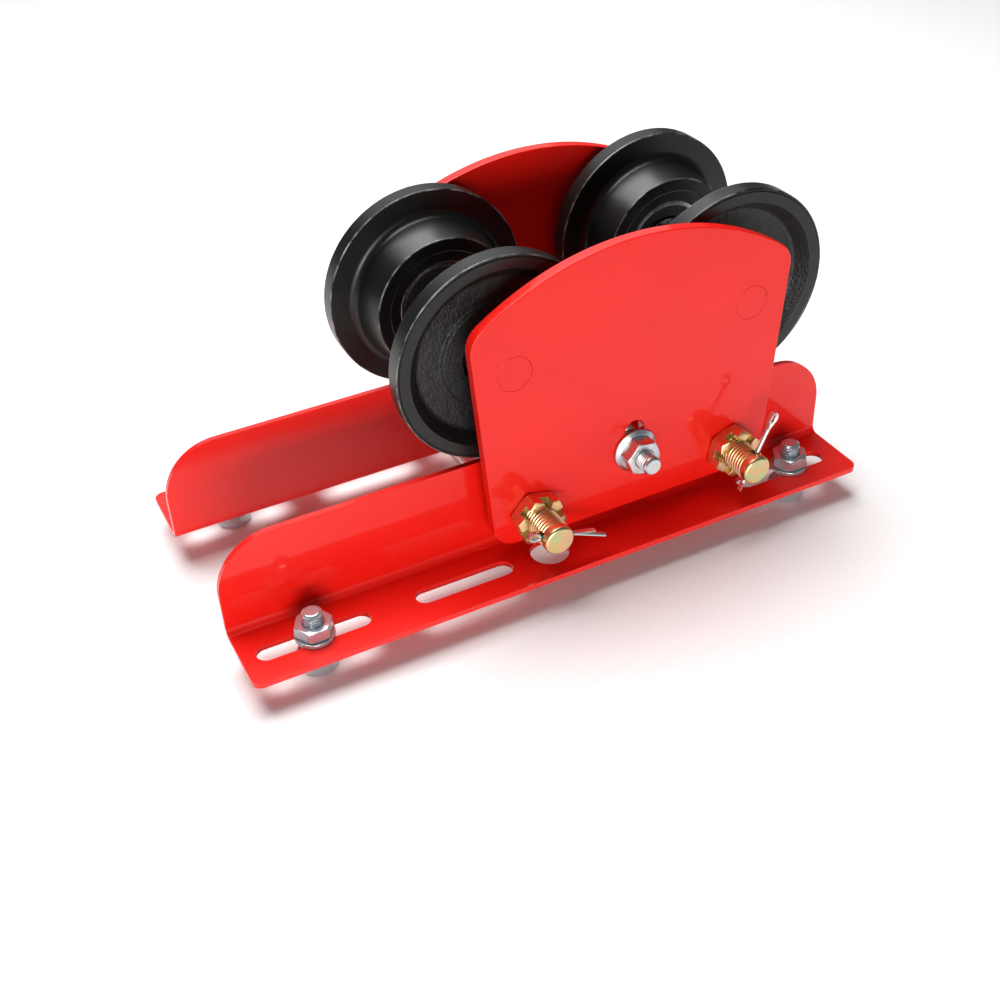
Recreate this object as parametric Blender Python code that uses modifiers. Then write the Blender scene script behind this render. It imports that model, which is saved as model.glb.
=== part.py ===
"""Push trolley for an I-beam: two side plates with flanged wheels, and two angle brackets
that carry a hoist. X runs along the beam, Y across it and Z up. The origin is the middle of
the underside. Distances called "out" are measured from the beam's middle plane, along -Y on
the front side and along +Y on the rear side."""

import math

import bmesh
import bpy
from mathutils import Matrix, Vector

MM = 0.001

# Fits
GAP = 0.3 * MM                    # between pieces that touch or nest
HOLE_PLAY = 0.5 * MM              # radial play of a bolt in its hole

# Beam space
WHEEL_GAP = 72 * MM               # between the front and rear wheel flanges
LEG_GAP = 82 * MM                 # between the upright legs of the brackets
PLATE_GAP = 107.4 * MM            # between the side plates' inner faces

# Side plates
PLATE_THICKNESS = 6 * MM
PLATE_TOP = 162 * MM              # height of the crown above the brackets' underside
PLATE_BOTTOM = 10.8 * MM
PLATE_CROWN_RADIUS = 145 * MM
PLATE_HALF_WIDTH = 88 * MM
PLATE_SHOULDER_RADIUS = 14 * MM
PLATE_FOOT_RADIUS = 13 * MM
PLATE_TAPER = math.radians(4.35)
CENTRE_SLOT_LENGTH = 22.5 * MM

# Angle brackets
BRACKET_LEFT = -216.4 * MM
BRACKET_RIGHT = 128.5 * MM
SHEET = 3 * MM
LEG_HEIGHT = 55 * MM
LEG_CORNER = 30 * MM
FLANGE_WIDTH = 43 * MM
FLANGE_CORNER = 5 * MM
BEND_RADIUS = 4 * MM              # inside of the bend
SLOT_INSET = 18.7 * MM            # slot centre line from the flange's edge
LONG_SLOTS = ((-209.0 * MM, -151.0 * MM), (-127.0 * MM, -74.0 * MM), (62.6 * MM, 118.0 * MM))
ROUND_HOLE_X = -52.5 * MM
ROUND_HOLE_RADIUS = 10 * MM

# Wheels
WHEEL_BASE = 132 * MM
WHEEL_CLEARANCE = 1.5 * MM        # between the brackets' legs and the wheels above them
FLANGE_RADIUS = 53 * MM
FLANGE_THICKNESS = 9.1 * MM
TREAD_WIDTH = 21 * MM
TREAD_ROOT_RADIUS = 40 * MM
TREAD_END_RADIUS = 36 * MM
RIM_BAND = 7 * MM                 # flat machined ring on the outer face
RECESS_DEPTH = 6.8 * MM
COLLAR_PLAY = 3 * MM              # round the stud's collar

# Wheel bearings and studs
BEARING_BORE = 10 * MM            # radii
BEARING_OUTSIDE = 23.5 * MM
BEARING_WIDTH = 14 * MM
BEARING_INSET = 2 * MM            # from the wheel's inboard face
SHIELD = 1 * MM
RACE = 3.6 * MM
COLLAR_RADIUS = 14 * MM
RIVET_RADIUS = 9 * MM
STUD_OVERHANG = 2 * MM
CIRCLIP_THICKNESS = 1.5 * MM
CIRCLIP_WIDTH = 3.8 * MM
GROOVE_DEPTH = 0.9 * MM

# Load bolts, M16
LOAD_BOLT_SPACING = 116 * MM
LOAD_BOLT_HEIGHT = 26.5 * MM
LOAD_BOLT_RADIUS = 8 * MM
LOAD_BOLT_END = 87 * MM           # free end, out from the middle plane
LOAD_HEX = 24 * MM                # across flats
LOAD_HEAD_HEIGHT = 12 * MM
CASTLE_HEIGHT = 10.4 * MM
CASTLE_SLOT_DEPTH = 5.4 * MM
CASTLE_SLOT_WIDTH = 5 * MM
COTTER_HOLE_RADIUS = 2.7 * MM
COTTER_HOLE_INSET = 6.5 * MM      # from the bolt's end
SPACER_RADIUS = 13 * MM
HEAD_WASHER_RADIUS = 17 * MM
HEAD_WASHER_THICKNESS = 3 * MM
LEFT_NUT_TURN = math.radians(17)
RIGHT_NUT_TURN = math.radians(50)

# Cotter pins
COTTER_WIRE_RADIUS = 1.0 * MM
COTTER_EYE_RADIUS = 3.2 * MM      # of the wire's centre line
COTTER_LEG = 43 * MM              # from the eye's centre to the longer tip
COTTER_SHORTER = 7 * MM           # how much shorter the other leg is
COTTER_STRAIGHT = 30 * MM         # of each leg, before its bend
COTTER_SPLAY = 4 * MM
LEFT_COTTER_TURN = math.radians(-15)
RIGHT_COTTER_TURN = math.radians(246)
LEFT_EYE_REACH = 4.5 * MM         # from the bolt's surface to the eye's centre
RIGHT_EYE_REACH = 20 * MM

# Centre bolt, M10
CENTRE_BOLT_HEIGHT = 44.5 * MM
SMALL_BOLT_RADIUS = 5 * MM
CENTRE_BOLT_END = 78 * MM
CENTRE_HEX = 17 * MM
CENTRE_NUT_HEIGHT = 10 * MM
NUT_FLANGE_RADIUS = 12 * MM
NUT_FLANGE_THICKNESS = 2 * MM
CENTRE_SPACER_RADIUS = 8 * MM

# Hoist bolts in the slots, M10
HOIST_BOLT_XS = (-179.6 * MM, 95.8 * MM)
HOIST_PLATE = 6 * MM              # room for the hoist's own plate under the flanges
WASHER_RADIUS = 10 * MM
WASHER_THICKNESS = 2 * MM
HOIST_HEX = 17 * MM
HOIST_NUT_HEIGHT = 6.5 * MM
HOIST_HEAD_HEIGHT = 6.4 * MM
HOIST_BOLT_TOP = 18.5 * MM

# Facets round a circle
WHEEL_FACETS = 32
ROUND_FACETS = 20
SMALL_FACETS = 12

# Places that follow from the sizes above
AXLE_HEIGHT = LEG_HEIGHT + WHEEL_CLEARANCE + FLANGE_RADIUS
SLOT_RADIUS = SMALL_BOLT_RADIUS + HOLE_PLAY
PLATE_INNER = PLATE_GAP / 2
PLATE_OUTER = PLATE_INNER + PLATE_THICKNESS
LEG_INNER = LEG_GAP / 2
LEG_OUTER = LEG_INNER + SHEET
FLANGE_EDGE = LEG_INNER + FLANGE_WIDTH
SLOT_LINE = FLANGE_EDGE - SLOT_INSET
TREAD_START = WHEEL_GAP / 2
WHEEL_INBOARD = TREAD_START - TREAD_WIDTH
WHEEL_OUTBOARD = TREAD_START + FLANGE_THICKNESS
BEARING_IN = WHEEL_INBOARD + BEARING_INSET
BEARING_OUT = BEARING_IN + BEARING_WIDTH
RECESS_FLOOR = WHEEL_OUTBOARD - RECESS_DEPTH
LOWER_WASHER_TOP = -(HOIST_PLATE + GAP)
HOIST_HEAD_TOP = LOWER_WASHER_TOP - WASHER_THICKNESS - GAP
UNDERSIDE = HOIST_HEAD_TOP - HOIST_HEAD_HEIGHT
COTTER_HOLE = LOAD_BOLT_END - COTTER_HOLE_INSET
HALF_BASE = WHEEL_BASE / 2
HALF_BOLTS = LOAD_BOLT_SPACING / 2

FRONT, REAR = -1, 1
SIDE_NAMES = {FRONT: "front", REAR: "rear"}


# ---------------------------------------------------------------- helpers
def clear_scene():
    for thing in list(bpy.data.objects):
        bpy.data.objects.remove(thing)


def new_collection(name):
    made = bpy.data.collections.new(name)
    bpy.context.scene.collection.children.link(made)
    return made


def new_material(name, colour, metallic, roughness):
    made = bpy.data.materials.new(name)
    made.use_nodes = True
    shader = made.node_tree.nodes["Principled BSDF"]
    shader.inputs["Base Color"].default_value = (*colour, 1)
    shader.inputs["Metallic"].default_value = metallic
    shader.inputs["Roughness"].default_value = roughness
    made.diffuse_color = (*colour, 1)
    return made


clear_scene()
PARTS = new_collection("beam_trolley")
CUTTERS = new_collection("cutters")
DATUM = bpy.data.objects.new("trolley_datum", None)
DATUM.location = (
    -(BRACKET_LEFT + BRACKET_RIGHT) / 2,
    (LOAD_BOLT_END - FLANGE_EDGE) / 2,
    -UNDERSIDE,
)
PARTS.objects.link(DATUM)

RED = new_material("red_paint", (0.80, 0.02, 0.01), 0, 0.3)
BLACK = new_material("black_cast_iron", (0.012, 0.012, 0.012), 0.2, 0.4)
YELLOW_ZINC = new_material("yellow_zinc", (0.75, 0.58, 0.28), 1, 0.3)
ZINC = new_material("bright_zinc", (0.70, 0.72, 0.74), 1, 0.28)
CHROME = new_material("chrome_steel", (0.62, 0.62, 0.62), 1, 0.12)
STEEL = new_material("bearing_steel", (0.55, 0.55, 0.56), 1, 0.25)


def add_object(name, mesh, material=None, location=(0, 0, 0)):
    """A part when it has a material, and a hidden cutter when it has none."""
    made = bpy.data.objects.new(name, mesh)
    made.location = location
    made.parent = DATUM
    if material:
        mesh.materials.append(material)
        PARTS.objects.link(made)
    else:
        made.hide_render = True
        made.display_type = "WIRE"
        CUTTERS.objects.link(made)
    return made


def round_shading(made):
    made.data.shade_smooth()
    made.data.set_sharp_from_angle(angle=math.radians(35))
    return made


def facing(side):
    """Turns local +Z to +Y on the rear side and to -Y on the front side."""
    return Matrix.Rotation(-side * math.pi / 2, 4, "X")


def turned(name, profile, facets, turn, material=None, location=(0, 0, 0)):
    """A solid of revolution; profile is (radius, height), outer side from top to bottom."""
    points = [Vector((radius, 0, height)) for radius, height in profile]
    mesh = bpy.data.meshes.new(name)
    shape = bmesh.new()
    corners = [shape.verts.new(point) for point in points]
    for first, second in zip(corners, corners[1:]):
        shape.edges.new((first, second))
    if profile[0][0] > 0:
        shape.edges.new((corners[-1], corners[0]))
    shape.to_mesh(mesh)
    shape.free()
    made = add_object(name, mesh, material, location)
    made.rotation_euler = turn.to_euler()
    screw = made.modifiers.new("turn", "SCREW")
    screw.axis = "Z"
    screw.steps = screw.render_steps = facets
    screw.use_merge_vertices = True
    screw.merge_threshold = 0.00001
    screw.use_smooth_shade = True
    return made


def ring(name, inner, outer, low, high, facets, turn, material, location=(0, 0, 0)):
    profile = [(outer, high), (outer, low), (inner, low), (inner, high)]
    return turned(name, profile, facets, turn, material, location)


def rod(name, radius, low, high, facets, turn, material=None, location=(0, 0, 0), phase=0.0):
    """A cylinder, or a hexagonal prism when it has six facets, along the turned Z axis."""
    mesh = bpy.data.meshes.new(name)
    shape = bmesh.new()
    bmesh.ops.create_cone(shape, cap_ends=True, segments=facets, radius1=radius, radius2=radius,
                          depth=high - low)
    lift = Matrix.Translation((0, 0, (high + low) / 2))
    shape.transform(turn @ Matrix.Rotation(phase, 4, "Z") @ lift)
    shape.to_mesh(mesh)
    shape.free()
    return add_object(name, mesh, material, location)


def block(name, low, high, turn=Matrix(), material=None, location=(0, 0, 0)):
    mesh = bpy.data.meshes.new(name)
    shape = bmesh.new()
    bmesh.ops.create_cube(shape, size=1)
    middle = (Vector(low) + Vector(high)) / 2
    size = Matrix.Diagonal((*(Vector(high) - Vector(low)), 1))
    shape.transform(turn @ Matrix.Translation(middle) @ size)
    shape.to_mesh(mesh)
    shape.free()
    return add_object(name, mesh, material, location)


def curve_mesh(name, curve):
    """The closed mesh of a curve, with its caps welded on."""
    guide = bpy.data.objects.new(name, curve)
    bpy.context.scene.collection.objects.link(guide)
    bpy.context.view_layer.update()
    graph = bpy.context.evaluated_depsgraph_get()
    mesh = bpy.data.meshes.new_from_object(guide.evaluated_get(graph))
    shape = bmesh.new()
    shape.from_mesh(mesh)
    bmesh.ops.remove_doubles(shape, verts=shape.verts, dist=0.000001)
    bmesh.ops.recalc_face_normals(shape, faces=shape.faces)
    shape.to_mesh(mesh)
    shape.free()
    bpy.data.objects.remove(guide)
    return mesh


ALONG = {
    "X": Matrix(((0, 0, 1, 0), (1, 0, 0, 0), (0, 1, 0, 0), (0, 0, 0, 1))),
    "Y": Matrix.Rotation(math.pi / 2, 4, "X"),
    "Z": Matrix(),
}


def extruded(name, outline, low, high, axis, material=None):
    """A flat outline pushed along one axis: (y, z) for X, (x, z) for Y and (x, y) for Z."""
    curve = bpy.data.curves.new(name, "CURVE")
    curve.dimensions = "2D"
    curve.fill_mode = "BOTH"
    curve.extrude = (high - low) / 2
    line = curve.splines.new("POLY")
    line.points.add(len(outline) - 1)
    for point, (across, up) in zip(line.points, outline):
        point.co = (across, up, 0, 1)
    line.use_cyclic_u = True
    mesh = curve_mesh(name, curve)
    mesh.transform(ALONG[axis])
    shift = {"X": (1, 0, 0), "Y": (0, 1, 0), "Z": (0, 0, 1)}[axis]
    mesh.transform(Matrix.Translation(Vector(shift) * (high + low) / 2))
    return add_object(name, mesh, material)


def arc(centre, radius, start, end, steps):
    """Points on an arc; the angles are in radians."""
    made = []
    for step in range(steps + 1):
        angle = start + (end - start) * step / steps
        made.append((centre[0] + radius * math.cos(angle), centre[1] + radius * math.sin(angle)))
    return made


def slot_outline(first, second, radius, steps=8):
    """A slot with round ends about two centres on a line along the first axis."""
    quarter = math.pi / 2
    return (arc(second, radius, -quarter, quarter, steps)
            + arc(first, radius, quarter, 3 * quarter, steps))


def combine(made, operation, *others):
    for other in others:
        step = made.modifiers.new(other.name, "BOOLEAN")
        step.operation = operation
        step.object = other
        step.solver = "EXACT"
    return made


# ---------------------------------------------------------------- side plates
def plate_outline():
    """Half the outline from the crown to the foot, then its mirror image."""
    crown_centre = (0, PLATE_TOP - PLATE_CROWN_RADIUS)
    shoulder_x = PLATE_HALF_WIDTH - PLATE_SHOULDER_RADIUS
    reach = PLATE_CROWN_RADIUS - PLATE_SHOULDER_RADIUS
    rise = math.sqrt(reach ** 2 - shoulder_x ** 2)
    shoulder = (shoulder_x, crown_centre[1] + rise)
    meeting = math.atan2(rise, shoulder_x)
    foot_z = PLATE_BOTTOM + PLATE_FOOT_RADIUS
    narrowing = (shoulder[1] - foot_z) * math.tan(PLATE_TAPER)
    offset = (PLATE_SHOULDER_RADIUS - PLATE_FOOT_RADIUS) / math.cos(PLATE_TAPER)
    foot = (shoulder_x + offset - narrowing, foot_z)
    half = (arc(crown_centre, PLATE_CROWN_RADIUS, math.pi / 2, meeting, 8)
            + arc(shoulder, PLATE_SHOULDER_RADIUS, meeting, -PLATE_TAPER, 6)[1:]
            + arc(foot, PLATE_FOOT_RADIUS, -PLATE_TAPER, -math.pi / 2, 6))
    return half + [(-x, z) for x, z in reversed(half[1:])]


def span(side, near, far):
    """The Y range between two distances out on one side, lowest first."""
    return sorted((side * near, side * far))


def side_plate(side):
    name = f"side_plate_{SIDE_NAMES[side]}"
    low, high = span(side, PLATE_INNER, PLATE_OUTER)
    plate = extruded(name, plate_outline(), low, high, "Y", RED)
    past = (PLATE_INNER - PLATE_THICKNESS, PLATE_OUTER + PLATE_THICKNESS)
    holes = []
    for x in (-HALF_BASE, HALF_BASE):
        holes.append(rod(f"{name}_rivet_cut", RIVET_RADIUS + GAP, *past, ROUND_FACETS,
                         facing(side), location=(x, 0, AXLE_HEIGHT)))
    for x in (-HALF_BOLTS, HALF_BOLTS):
        holes.append(rod(f"{name}_bolt_cut", LOAD_BOLT_RADIUS + HOLE_PLAY, *past, ROUND_FACETS,
                         facing(side), location=(x, 0, LOAD_BOLT_HEIGHT)))
    upper = CENTRE_BOLT_HEIGHT + CENTRE_SLOT_LENGTH - 2 * SLOT_RADIUS
    outline = (arc((0, upper), SLOT_RADIUS, 0, math.pi, 8)
               + arc((0, CENTRE_BOLT_HEIGHT), SLOT_RADIUS, math.pi, 2 * math.pi, 8))
    far_low, far_high = span(side, *past)
    holes.append(extruded(f"{name}_slot_cut", outline, far_low, far_high, "Y"))
    return combine(plate, "DIFFERENCE", *holes)


# ---------------------------------------------------------------- angle brackets
def angle_section(side):
    """The bent sheet's section, longer than needed at both free edges."""
    spare = SHEET
    outer_bend = BEND_RADIUS + SHEET
    centre = (LEG_INNER + outer_bend, outer_bend)
    points = [(LEG_INNER, LEG_HEIGHT + spare)]
    points += arc(centre, outer_bend, math.pi, 1.5 * math.pi, 4)
    points += [(FLANGE_EDGE + spare, 0), (FLANGE_EDGE + spare, SHEET)]
    points += arc(centre, BEND_RADIUS, 1.5 * math.pi, math.pi, 4)
    points += [(LEG_OUTER, LEG_HEIGHT + spare)]
    return [(side * out, z) for out, z in points]


def leg_face():
    """The bracket seen from the side: round upper corners on the upright leg."""
    left = (BRACKET_LEFT + LEG_CORNER, LEG_HEIGHT - LEG_CORNER)
    right = (BRACKET_RIGHT - LEG_CORNER, LEG_HEIGHT - LEG_CORNER)
    below = -SHEET
    return ([(BRACKET_LEFT, below), (BRACKET_RIGHT, below)]
            + arc(right, LEG_CORNER, 0, math.pi / 2, 8)
            + arc(left, LEG_CORNER, math.pi / 2, math.pi, 8))


def flange_face(side):
    """The bracket seen from above: small round corners on the flange's free edge."""
    left = (BRACKET_LEFT + FLANGE_CORNER, FLANGE_EDGE - FLANGE_CORNER)
    right = (BRACKET_RIGHT - FLANGE_CORNER, FLANGE_EDGE - FLANGE_CORNER)
    start = LEG_INNER - SHEET
    points = ([(BRACKET_LEFT, start), (BRACKET_RIGHT, start)]
              + arc(right, FLANGE_CORNER, 0, math.pi / 2, 4)
              + arc(left, FLANGE_CORNER, math.pi / 2, math.pi, 4))
    return [(x, side * out) for x, out in points]


def angle_bracket(side):
    name = f"angle_bracket_{SIDE_NAMES[side]}"
    spare = SHEET
    bracket = extruded(name, angle_section(side), BRACKET_LEFT - spare, BRACKET_RIGHT + spare,
                       "X", RED)
    low, high = span(side, LEG_INNER - 2 * spare, FLANGE_EDGE + 2 * spare)
    combine(bracket, "INTERSECT",
            extruded(f"{name}_leg_shape", leg_face(), low, high, "Y"),
            extruded(f"{name}_flange_shape", flange_face(side), -spare, LEG_HEIGHT + spare, "Z"))
    holes = []
    for start, end in LONG_SLOTS:
        outline = slot_outline((start + SLOT_RADIUS, side * SLOT_LINE),
                               (end - SLOT_RADIUS, side * SLOT_LINE), SLOT_RADIUS)
        holes.append(extruded(f"{name}_slot_cut", outline, -spare, SHEET + spare, "Z"))
    holes.append(rod(f"{name}_round_cut", ROUND_HOLE_RADIUS, -spare, SHEET + spare, ROUND_FACETS,
                     Matrix(), location=(ROUND_HOLE_X, side * SLOT_LINE, 0)))
    past = (LEG_INNER - spare, LEG_OUTER + spare)
    for x in (-HALF_BOLTS, HALF_BOLTS):
        holes.append(rod(f"{name}_bolt_cut", LOAD_BOLT_RADIUS + HOLE_PLAY, *past, ROUND_FACETS,
                         facing(side), location=(x, 0, LOAD_BOLT_HEIGHT)))
    holes.append(rod(f"{name}_centre_cut", SMALL_BOLT_RADIUS + HOLE_PLAY, *past, SMALL_FACETS,
                     facing(side), location=(0, 0, CENTRE_BOLT_HEIGHT)))
    return combine(bracket, "DIFFERENCE", *holes)


# ---------------------------------------------------------------- wheels, bearings and studs
def wheel(corner, side, x):
    """Cast wheel: flange outboard, tapered tread inboard, dished outer face, bearing seat."""
    edge = 0.8 * MM
    fillet = 1.4 * MM
    seat = BEARING_OUTSIDE + GAP
    collar_hole = COLLAR_RADIUS + COLLAR_PLAY
    rim = FLANGE_RADIUS - RIM_BAND
    profile = [
        (collar_hole, RECESS_FLOOR),
        (rim - RECESS_DEPTH, RECESS_FLOOR),
        (rim, WHEEL_OUTBOARD),
        (FLANGE_RADIUS - edge, WHEEL_OUTBOARD),
        (FLANGE_RADIUS, WHEEL_OUTBOARD - edge),
        (FLANGE_RADIUS, TREAD_START + edge),
        (FLANGE_RADIUS - edge, TREAD_START),
        (TREAD_ROOT_RADIUS + fillet, TREAD_START),
        (TREAD_ROOT_RADIUS, TREAD_START - fillet),
        (TREAD_END_RADIUS, WHEEL_INBOARD + edge),
        (TREAD_END_RADIUS - edge, WHEEL_INBOARD),
        (seat, WHEEL_INBOARD),
        (seat, BEARING_OUT + GAP),
        (collar_hole, BEARING_OUT + GAP),
    ]
    return turned(f"wheel_{corner}", profile, WHEEL_FACETS, facing(side), BLACK, (x, 0, AXLE_HEIGHT))


def bearing(corner, side, x):
    """A shielded ball bearing's two rings; the shields belong to the outer ring."""
    place = (x, 0, AXLE_HEIGHT)
    shield_hole = BEARING_BORE + RACE + 1 * MM
    track = BEARING_OUTSIDE - 3 * MM
    outer = [
        (BEARING_OUTSIDE, BEARING_OUT), (BEARING_OUTSIDE, BEARING_IN),
        (shield_hole, BEARING_IN), (shield_hole, BEARING_IN + SHIELD),
        (track, BEARING_IN + SHIELD), (track, BEARING_OUT - SHIELD),
        (shield_hole, BEARING_OUT - SHIELD), (shield_hole, BEARING_OUT),
    ]
    turned(f"bearing_outer_ring_{corner}", outer, ROUND_FACETS, facing(side), STEEL, place)
    ring(f"bearing_inner_ring_{corner}", BEARING_BORE, BEARING_BORE + RACE, BEARING_IN,
         BEARING_OUT, ROUND_FACETS, facing(side), STEEL, place)


def wheel_stud(corner, side, x):
    """Stud riveted flush into the plate, with a collar, a journal and a circlip groove."""
    journal = BEARING_BORE - GAP
    end = WHEEL_INBOARD - STUD_OVERHANG
    groove_high = BEARING_IN
    groove_low = groove_high - CIRCLIP_THICKNESS - 2 * GAP
    profile = [
        (0, PLATE_OUTER),
        (RIVET_RADIUS, PLATE_OUTER),
        (RIVET_RADIUS, PLATE_INNER - GAP),
        (COLLAR_RADIUS, PLATE_INNER - GAP),
        (COLLAR_RADIUS, BEARING_OUT + GAP),
        (journal, BEARING_OUT + GAP),
        (journal, groove_high),
        (journal - GROOVE_DEPTH, groove_high),
        (journal - GROOVE_DEPTH, groove_low),
        (journal, groove_low),
        (journal - 1 * MM, end),
        (0, end),
    ]
    turned(f"wheel_stud_{corner}", profile, ROUND_FACETS, facing(side), ZINC, (x, 0, AXLE_HEIGHT))


def circlip(corner, side, x):
    """Retaining ring in the stud's groove, open at the top."""
    inner = BEARING_BORE - GROOVE_DEPTH
    high = BEARING_IN - GAP
    low = high - CIRCLIP_THICKNESS
    place = (x, 0, AXLE_HEIGHT)
    clip = ring(f"circlip_{corner}", inner, inner + CIRCLIP_WIDTH, low, high, ROUND_FACETS,
                facing(side), STEEL, place)
    half_mouth = 2.5 * MM
    reach = inner + 2 * CIRCLIP_WIDTH
    y_low, y_high = span(side, low - MM, high + MM)
    mouth = block(f"circlip_{corner}_cut", (-half_mouth, y_low, 0), (half_mouth, y_high, reach),
                  location=place)
    return combine(clip, "DIFFERENCE", mouth)


# ---------------------------------------------------------------- load bolts
def load_bolt(label, x, cotter_turn):
    """Hex bolt through both plates and both legs, with its head at the rear."""
    name = f"load_bolt_{label}"
    place = (x, 0, LOAD_BOLT_HEIGHT)
    head_start = PLATE_OUTER + HEAD_WASHER_THICKNESS + 2 * GAP
    chamfer = 1.6 * MM
    profile = [
        (0, LOAD_BOLT_END),
        (LOAD_BOLT_RADIUS - chamfer, LOAD_BOLT_END),
        (LOAD_BOLT_RADIUS, LOAD_BOLT_END - chamfer),
        (LOAD_BOLT_RADIUS, -head_start - chamfer),
        (0, -head_start - chamfer),
    ]
    bolt = turned(name, profile, ROUND_FACETS, facing(FRONT), YELLOW_ZINC, place)
    head = rod(f"{name}_head", hex_radius(LOAD_HEX), head_start, head_start + LOAD_HEAD_HEIGHT, 6,
               facing(REAR), location=place)
    across = Matrix.Rotation(-cotter_turn, 4, "Y") @ Matrix.Rotation(math.pi / 2, 4, "Y")
    hole = rod(f"{name}_cotter_cut", COTTER_HOLE_RADIUS, -2 * LOAD_BOLT_RADIUS,
               2 * LOAD_BOLT_RADIUS, SMALL_FACETS, across, location=(x, -COTTER_HOLE, place[2]))
    combine(bolt, "UNION", head)
    return combine(bolt, "DIFFERENCE", hole)


def hex_radius(across_flats):
    return across_flats / math.sqrt(3)


def castle_nut(label, x, turn):
    """Hexagon nut on the front plate, with a slot across the middle of every face."""
    name = f"castle_nut_{label}"
    place = (x, 0, LOAD_BOLT_HEIGHT)
    start = PLATE_OUTER + GAP
    top = start + CASTLE_HEIGHT
    nut = rod(name, hex_radius(LOAD_HEX), start, top, 6, facing(FRONT), YELLOW_ZINC, place,
              phase=turn)
    cuts = [rod(f"{name}_bore_cut", LOAD_BOLT_RADIUS + GAP, start - MM, top + MM, ROUND_FACETS,
                facing(FRONT), location=place)]
    half = CASTLE_SLOT_WIDTH / 2
    for step in range(3):
        spin = facing(FRONT) @ Matrix.Rotation(turn + math.radians(60 * step), 4, "Z")
        cuts.append(block(f"{name}_slot_cut", (-LOAD_HEX, -half, top - CASTLE_SLOT_DEPTH),
                          (LOAD_HEX, half, top + MM), spin, location=place))
    return combine(nut, "DIFFERENCE", *cuts)


def cotter_points(splay):
    """The wire's centre line: one leg, round the eye and back along the other leg."""
    apart = COTTER_WIRE_RADIUS + GAP / 2
    opening = math.radians(38)
    eye = arc((0, 0), COTTER_EYE_RADIUS, opening, 2 * math.pi - opening, 12)
    neck = 2 * COTTER_EYE_RADIUS
    short_leg = [(COTTER_LEG - COTTER_SHORTER, apart + splay / 2), (COTTER_STRAIGHT, apart),
                 (neck, apart)]
    long_leg = [(neck, -apart), (COTTER_STRAIGHT, -apart), (COTTER_LEG, -apart - splay)]
    return short_leg + eye + long_leg


def cotter_pin(label, x, turn, eye_reach, splay):
    """Split pin lying across the load bolt; splay is how far its longer leg is bent aside."""
    eye_offset = LOAD_BOLT_RADIUS + eye_reach
    curve = bpy.data.curves.new(f"cotter_pin_{label}", "CURVE")
    curve.dimensions = "3D"
    curve.bevel_depth = COTTER_WIRE_RADIUS
    curve.bevel_resolution = 2
    curve.use_fill_caps = True
    points = cotter_points(splay)
    line = curve.splines.new("POLY")
    line.points.add(len(points) - 1)
    for point, (along, up) in zip(line.points, points):
        point.co = (along - eye_offset, 0, up, 1)
    mesh = curve_mesh(curve.name, curve)
    mesh.transform(Matrix.Rotation(-turn, 4, "Y"))
    return round_shading(add_object(curve.name, mesh, ZINC, (x, -COTTER_HOLE, LOAD_BOLT_HEIGHT)))


def load_bolt_spacers(label, x):
    """A tube between the legs, a collar between each leg and its plate, and a head washer."""
    place = (x, 0, LOAD_BOLT_HEIGHT)
    bore = LOAD_BOLT_RADIUS + GAP
    ring(f"spacer_tube_{label}", bore, SPACER_RADIUS, -(LEG_INNER - GAP), LEG_INNER - GAP,
         ROUND_FACETS, facing(REAR), ZINC, place)
    for side, side_name in SIDE_NAMES.items():
        ring(f"spacer_collar_{side_name}_{label}", bore, SPACER_RADIUS, LEG_OUTER + GAP,
             PLATE_INNER - GAP, ROUND_FACETS, facing(side), ZINC, place)
    start = PLATE_OUTER + GAP
    ring(f"head_washer_{label}", bore, HEAD_WASHER_RADIUS, start, start + HEAD_WASHER_THICKNESS,
         ROUND_FACETS, facing(REAR), YELLOW_ZINC, place)


# ---------------------------------------------------------------- centre bolt
def centre_bolt():
    place = (0, 0, CENTRE_BOLT_HEIGHT)
    start = PLATE_OUTER + GAP
    head_top = start + CENTRE_NUT_HEIGHT
    bolt = rod("centre_bolt", SMALL_BOLT_RADIUS, -start - MM, CENTRE_BOLT_END, SMALL_FACETS,
               facing(FRONT), ZINC, place)
    flange = rod("centre_bolt_flange", NUT_FLANGE_RADIUS, start, start + NUT_FLANGE_THICKNESS,
                 ROUND_FACETS, facing(REAR), location=place)
    head = rod("centre_bolt_head", hex_radius(CENTRE_HEX), start + MM, head_top, 6, facing(REAR),
               location=place)
    combine(bolt, "UNION", flange, head)

    nut = rod("centre_nut", NUT_FLANGE_RADIUS, start, start + NUT_FLANGE_THICKNESS, ROUND_FACETS,
              facing(FRONT), ZINC, place)
    hexagon = rod("centre_nut_hex", hex_radius(CENTRE_HEX), start + MM, head_top, 6, facing(FRONT),
                  location=place, phase=math.radians(20))
    bore = rod("centre_nut_bore_cut", SMALL_BOLT_RADIUS + GAP, start - MM, head_top + MM,
               SMALL_FACETS, facing(FRONT), location=place)
    combine(nut, "UNION", hexagon)
    combine(nut, "DIFFERENCE", bore)

    hole = SMALL_BOLT_RADIUS + GAP
    ring("centre_spacer_tube", hole, CENTRE_SPACER_RADIUS, -(LEG_INNER - GAP), LEG_INNER - GAP,
         SMALL_FACETS, facing(REAR), ZINC, place)
    for side, side_name in SIDE_NAMES.items():
        ring(f"centre_spacer_collar_{side_name}", hole, CENTRE_SPACER_RADIUS, LEG_OUTER + GAP,
             PLATE_INNER - GAP, SMALL_FACETS, facing(side), ZINC, place)


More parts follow.
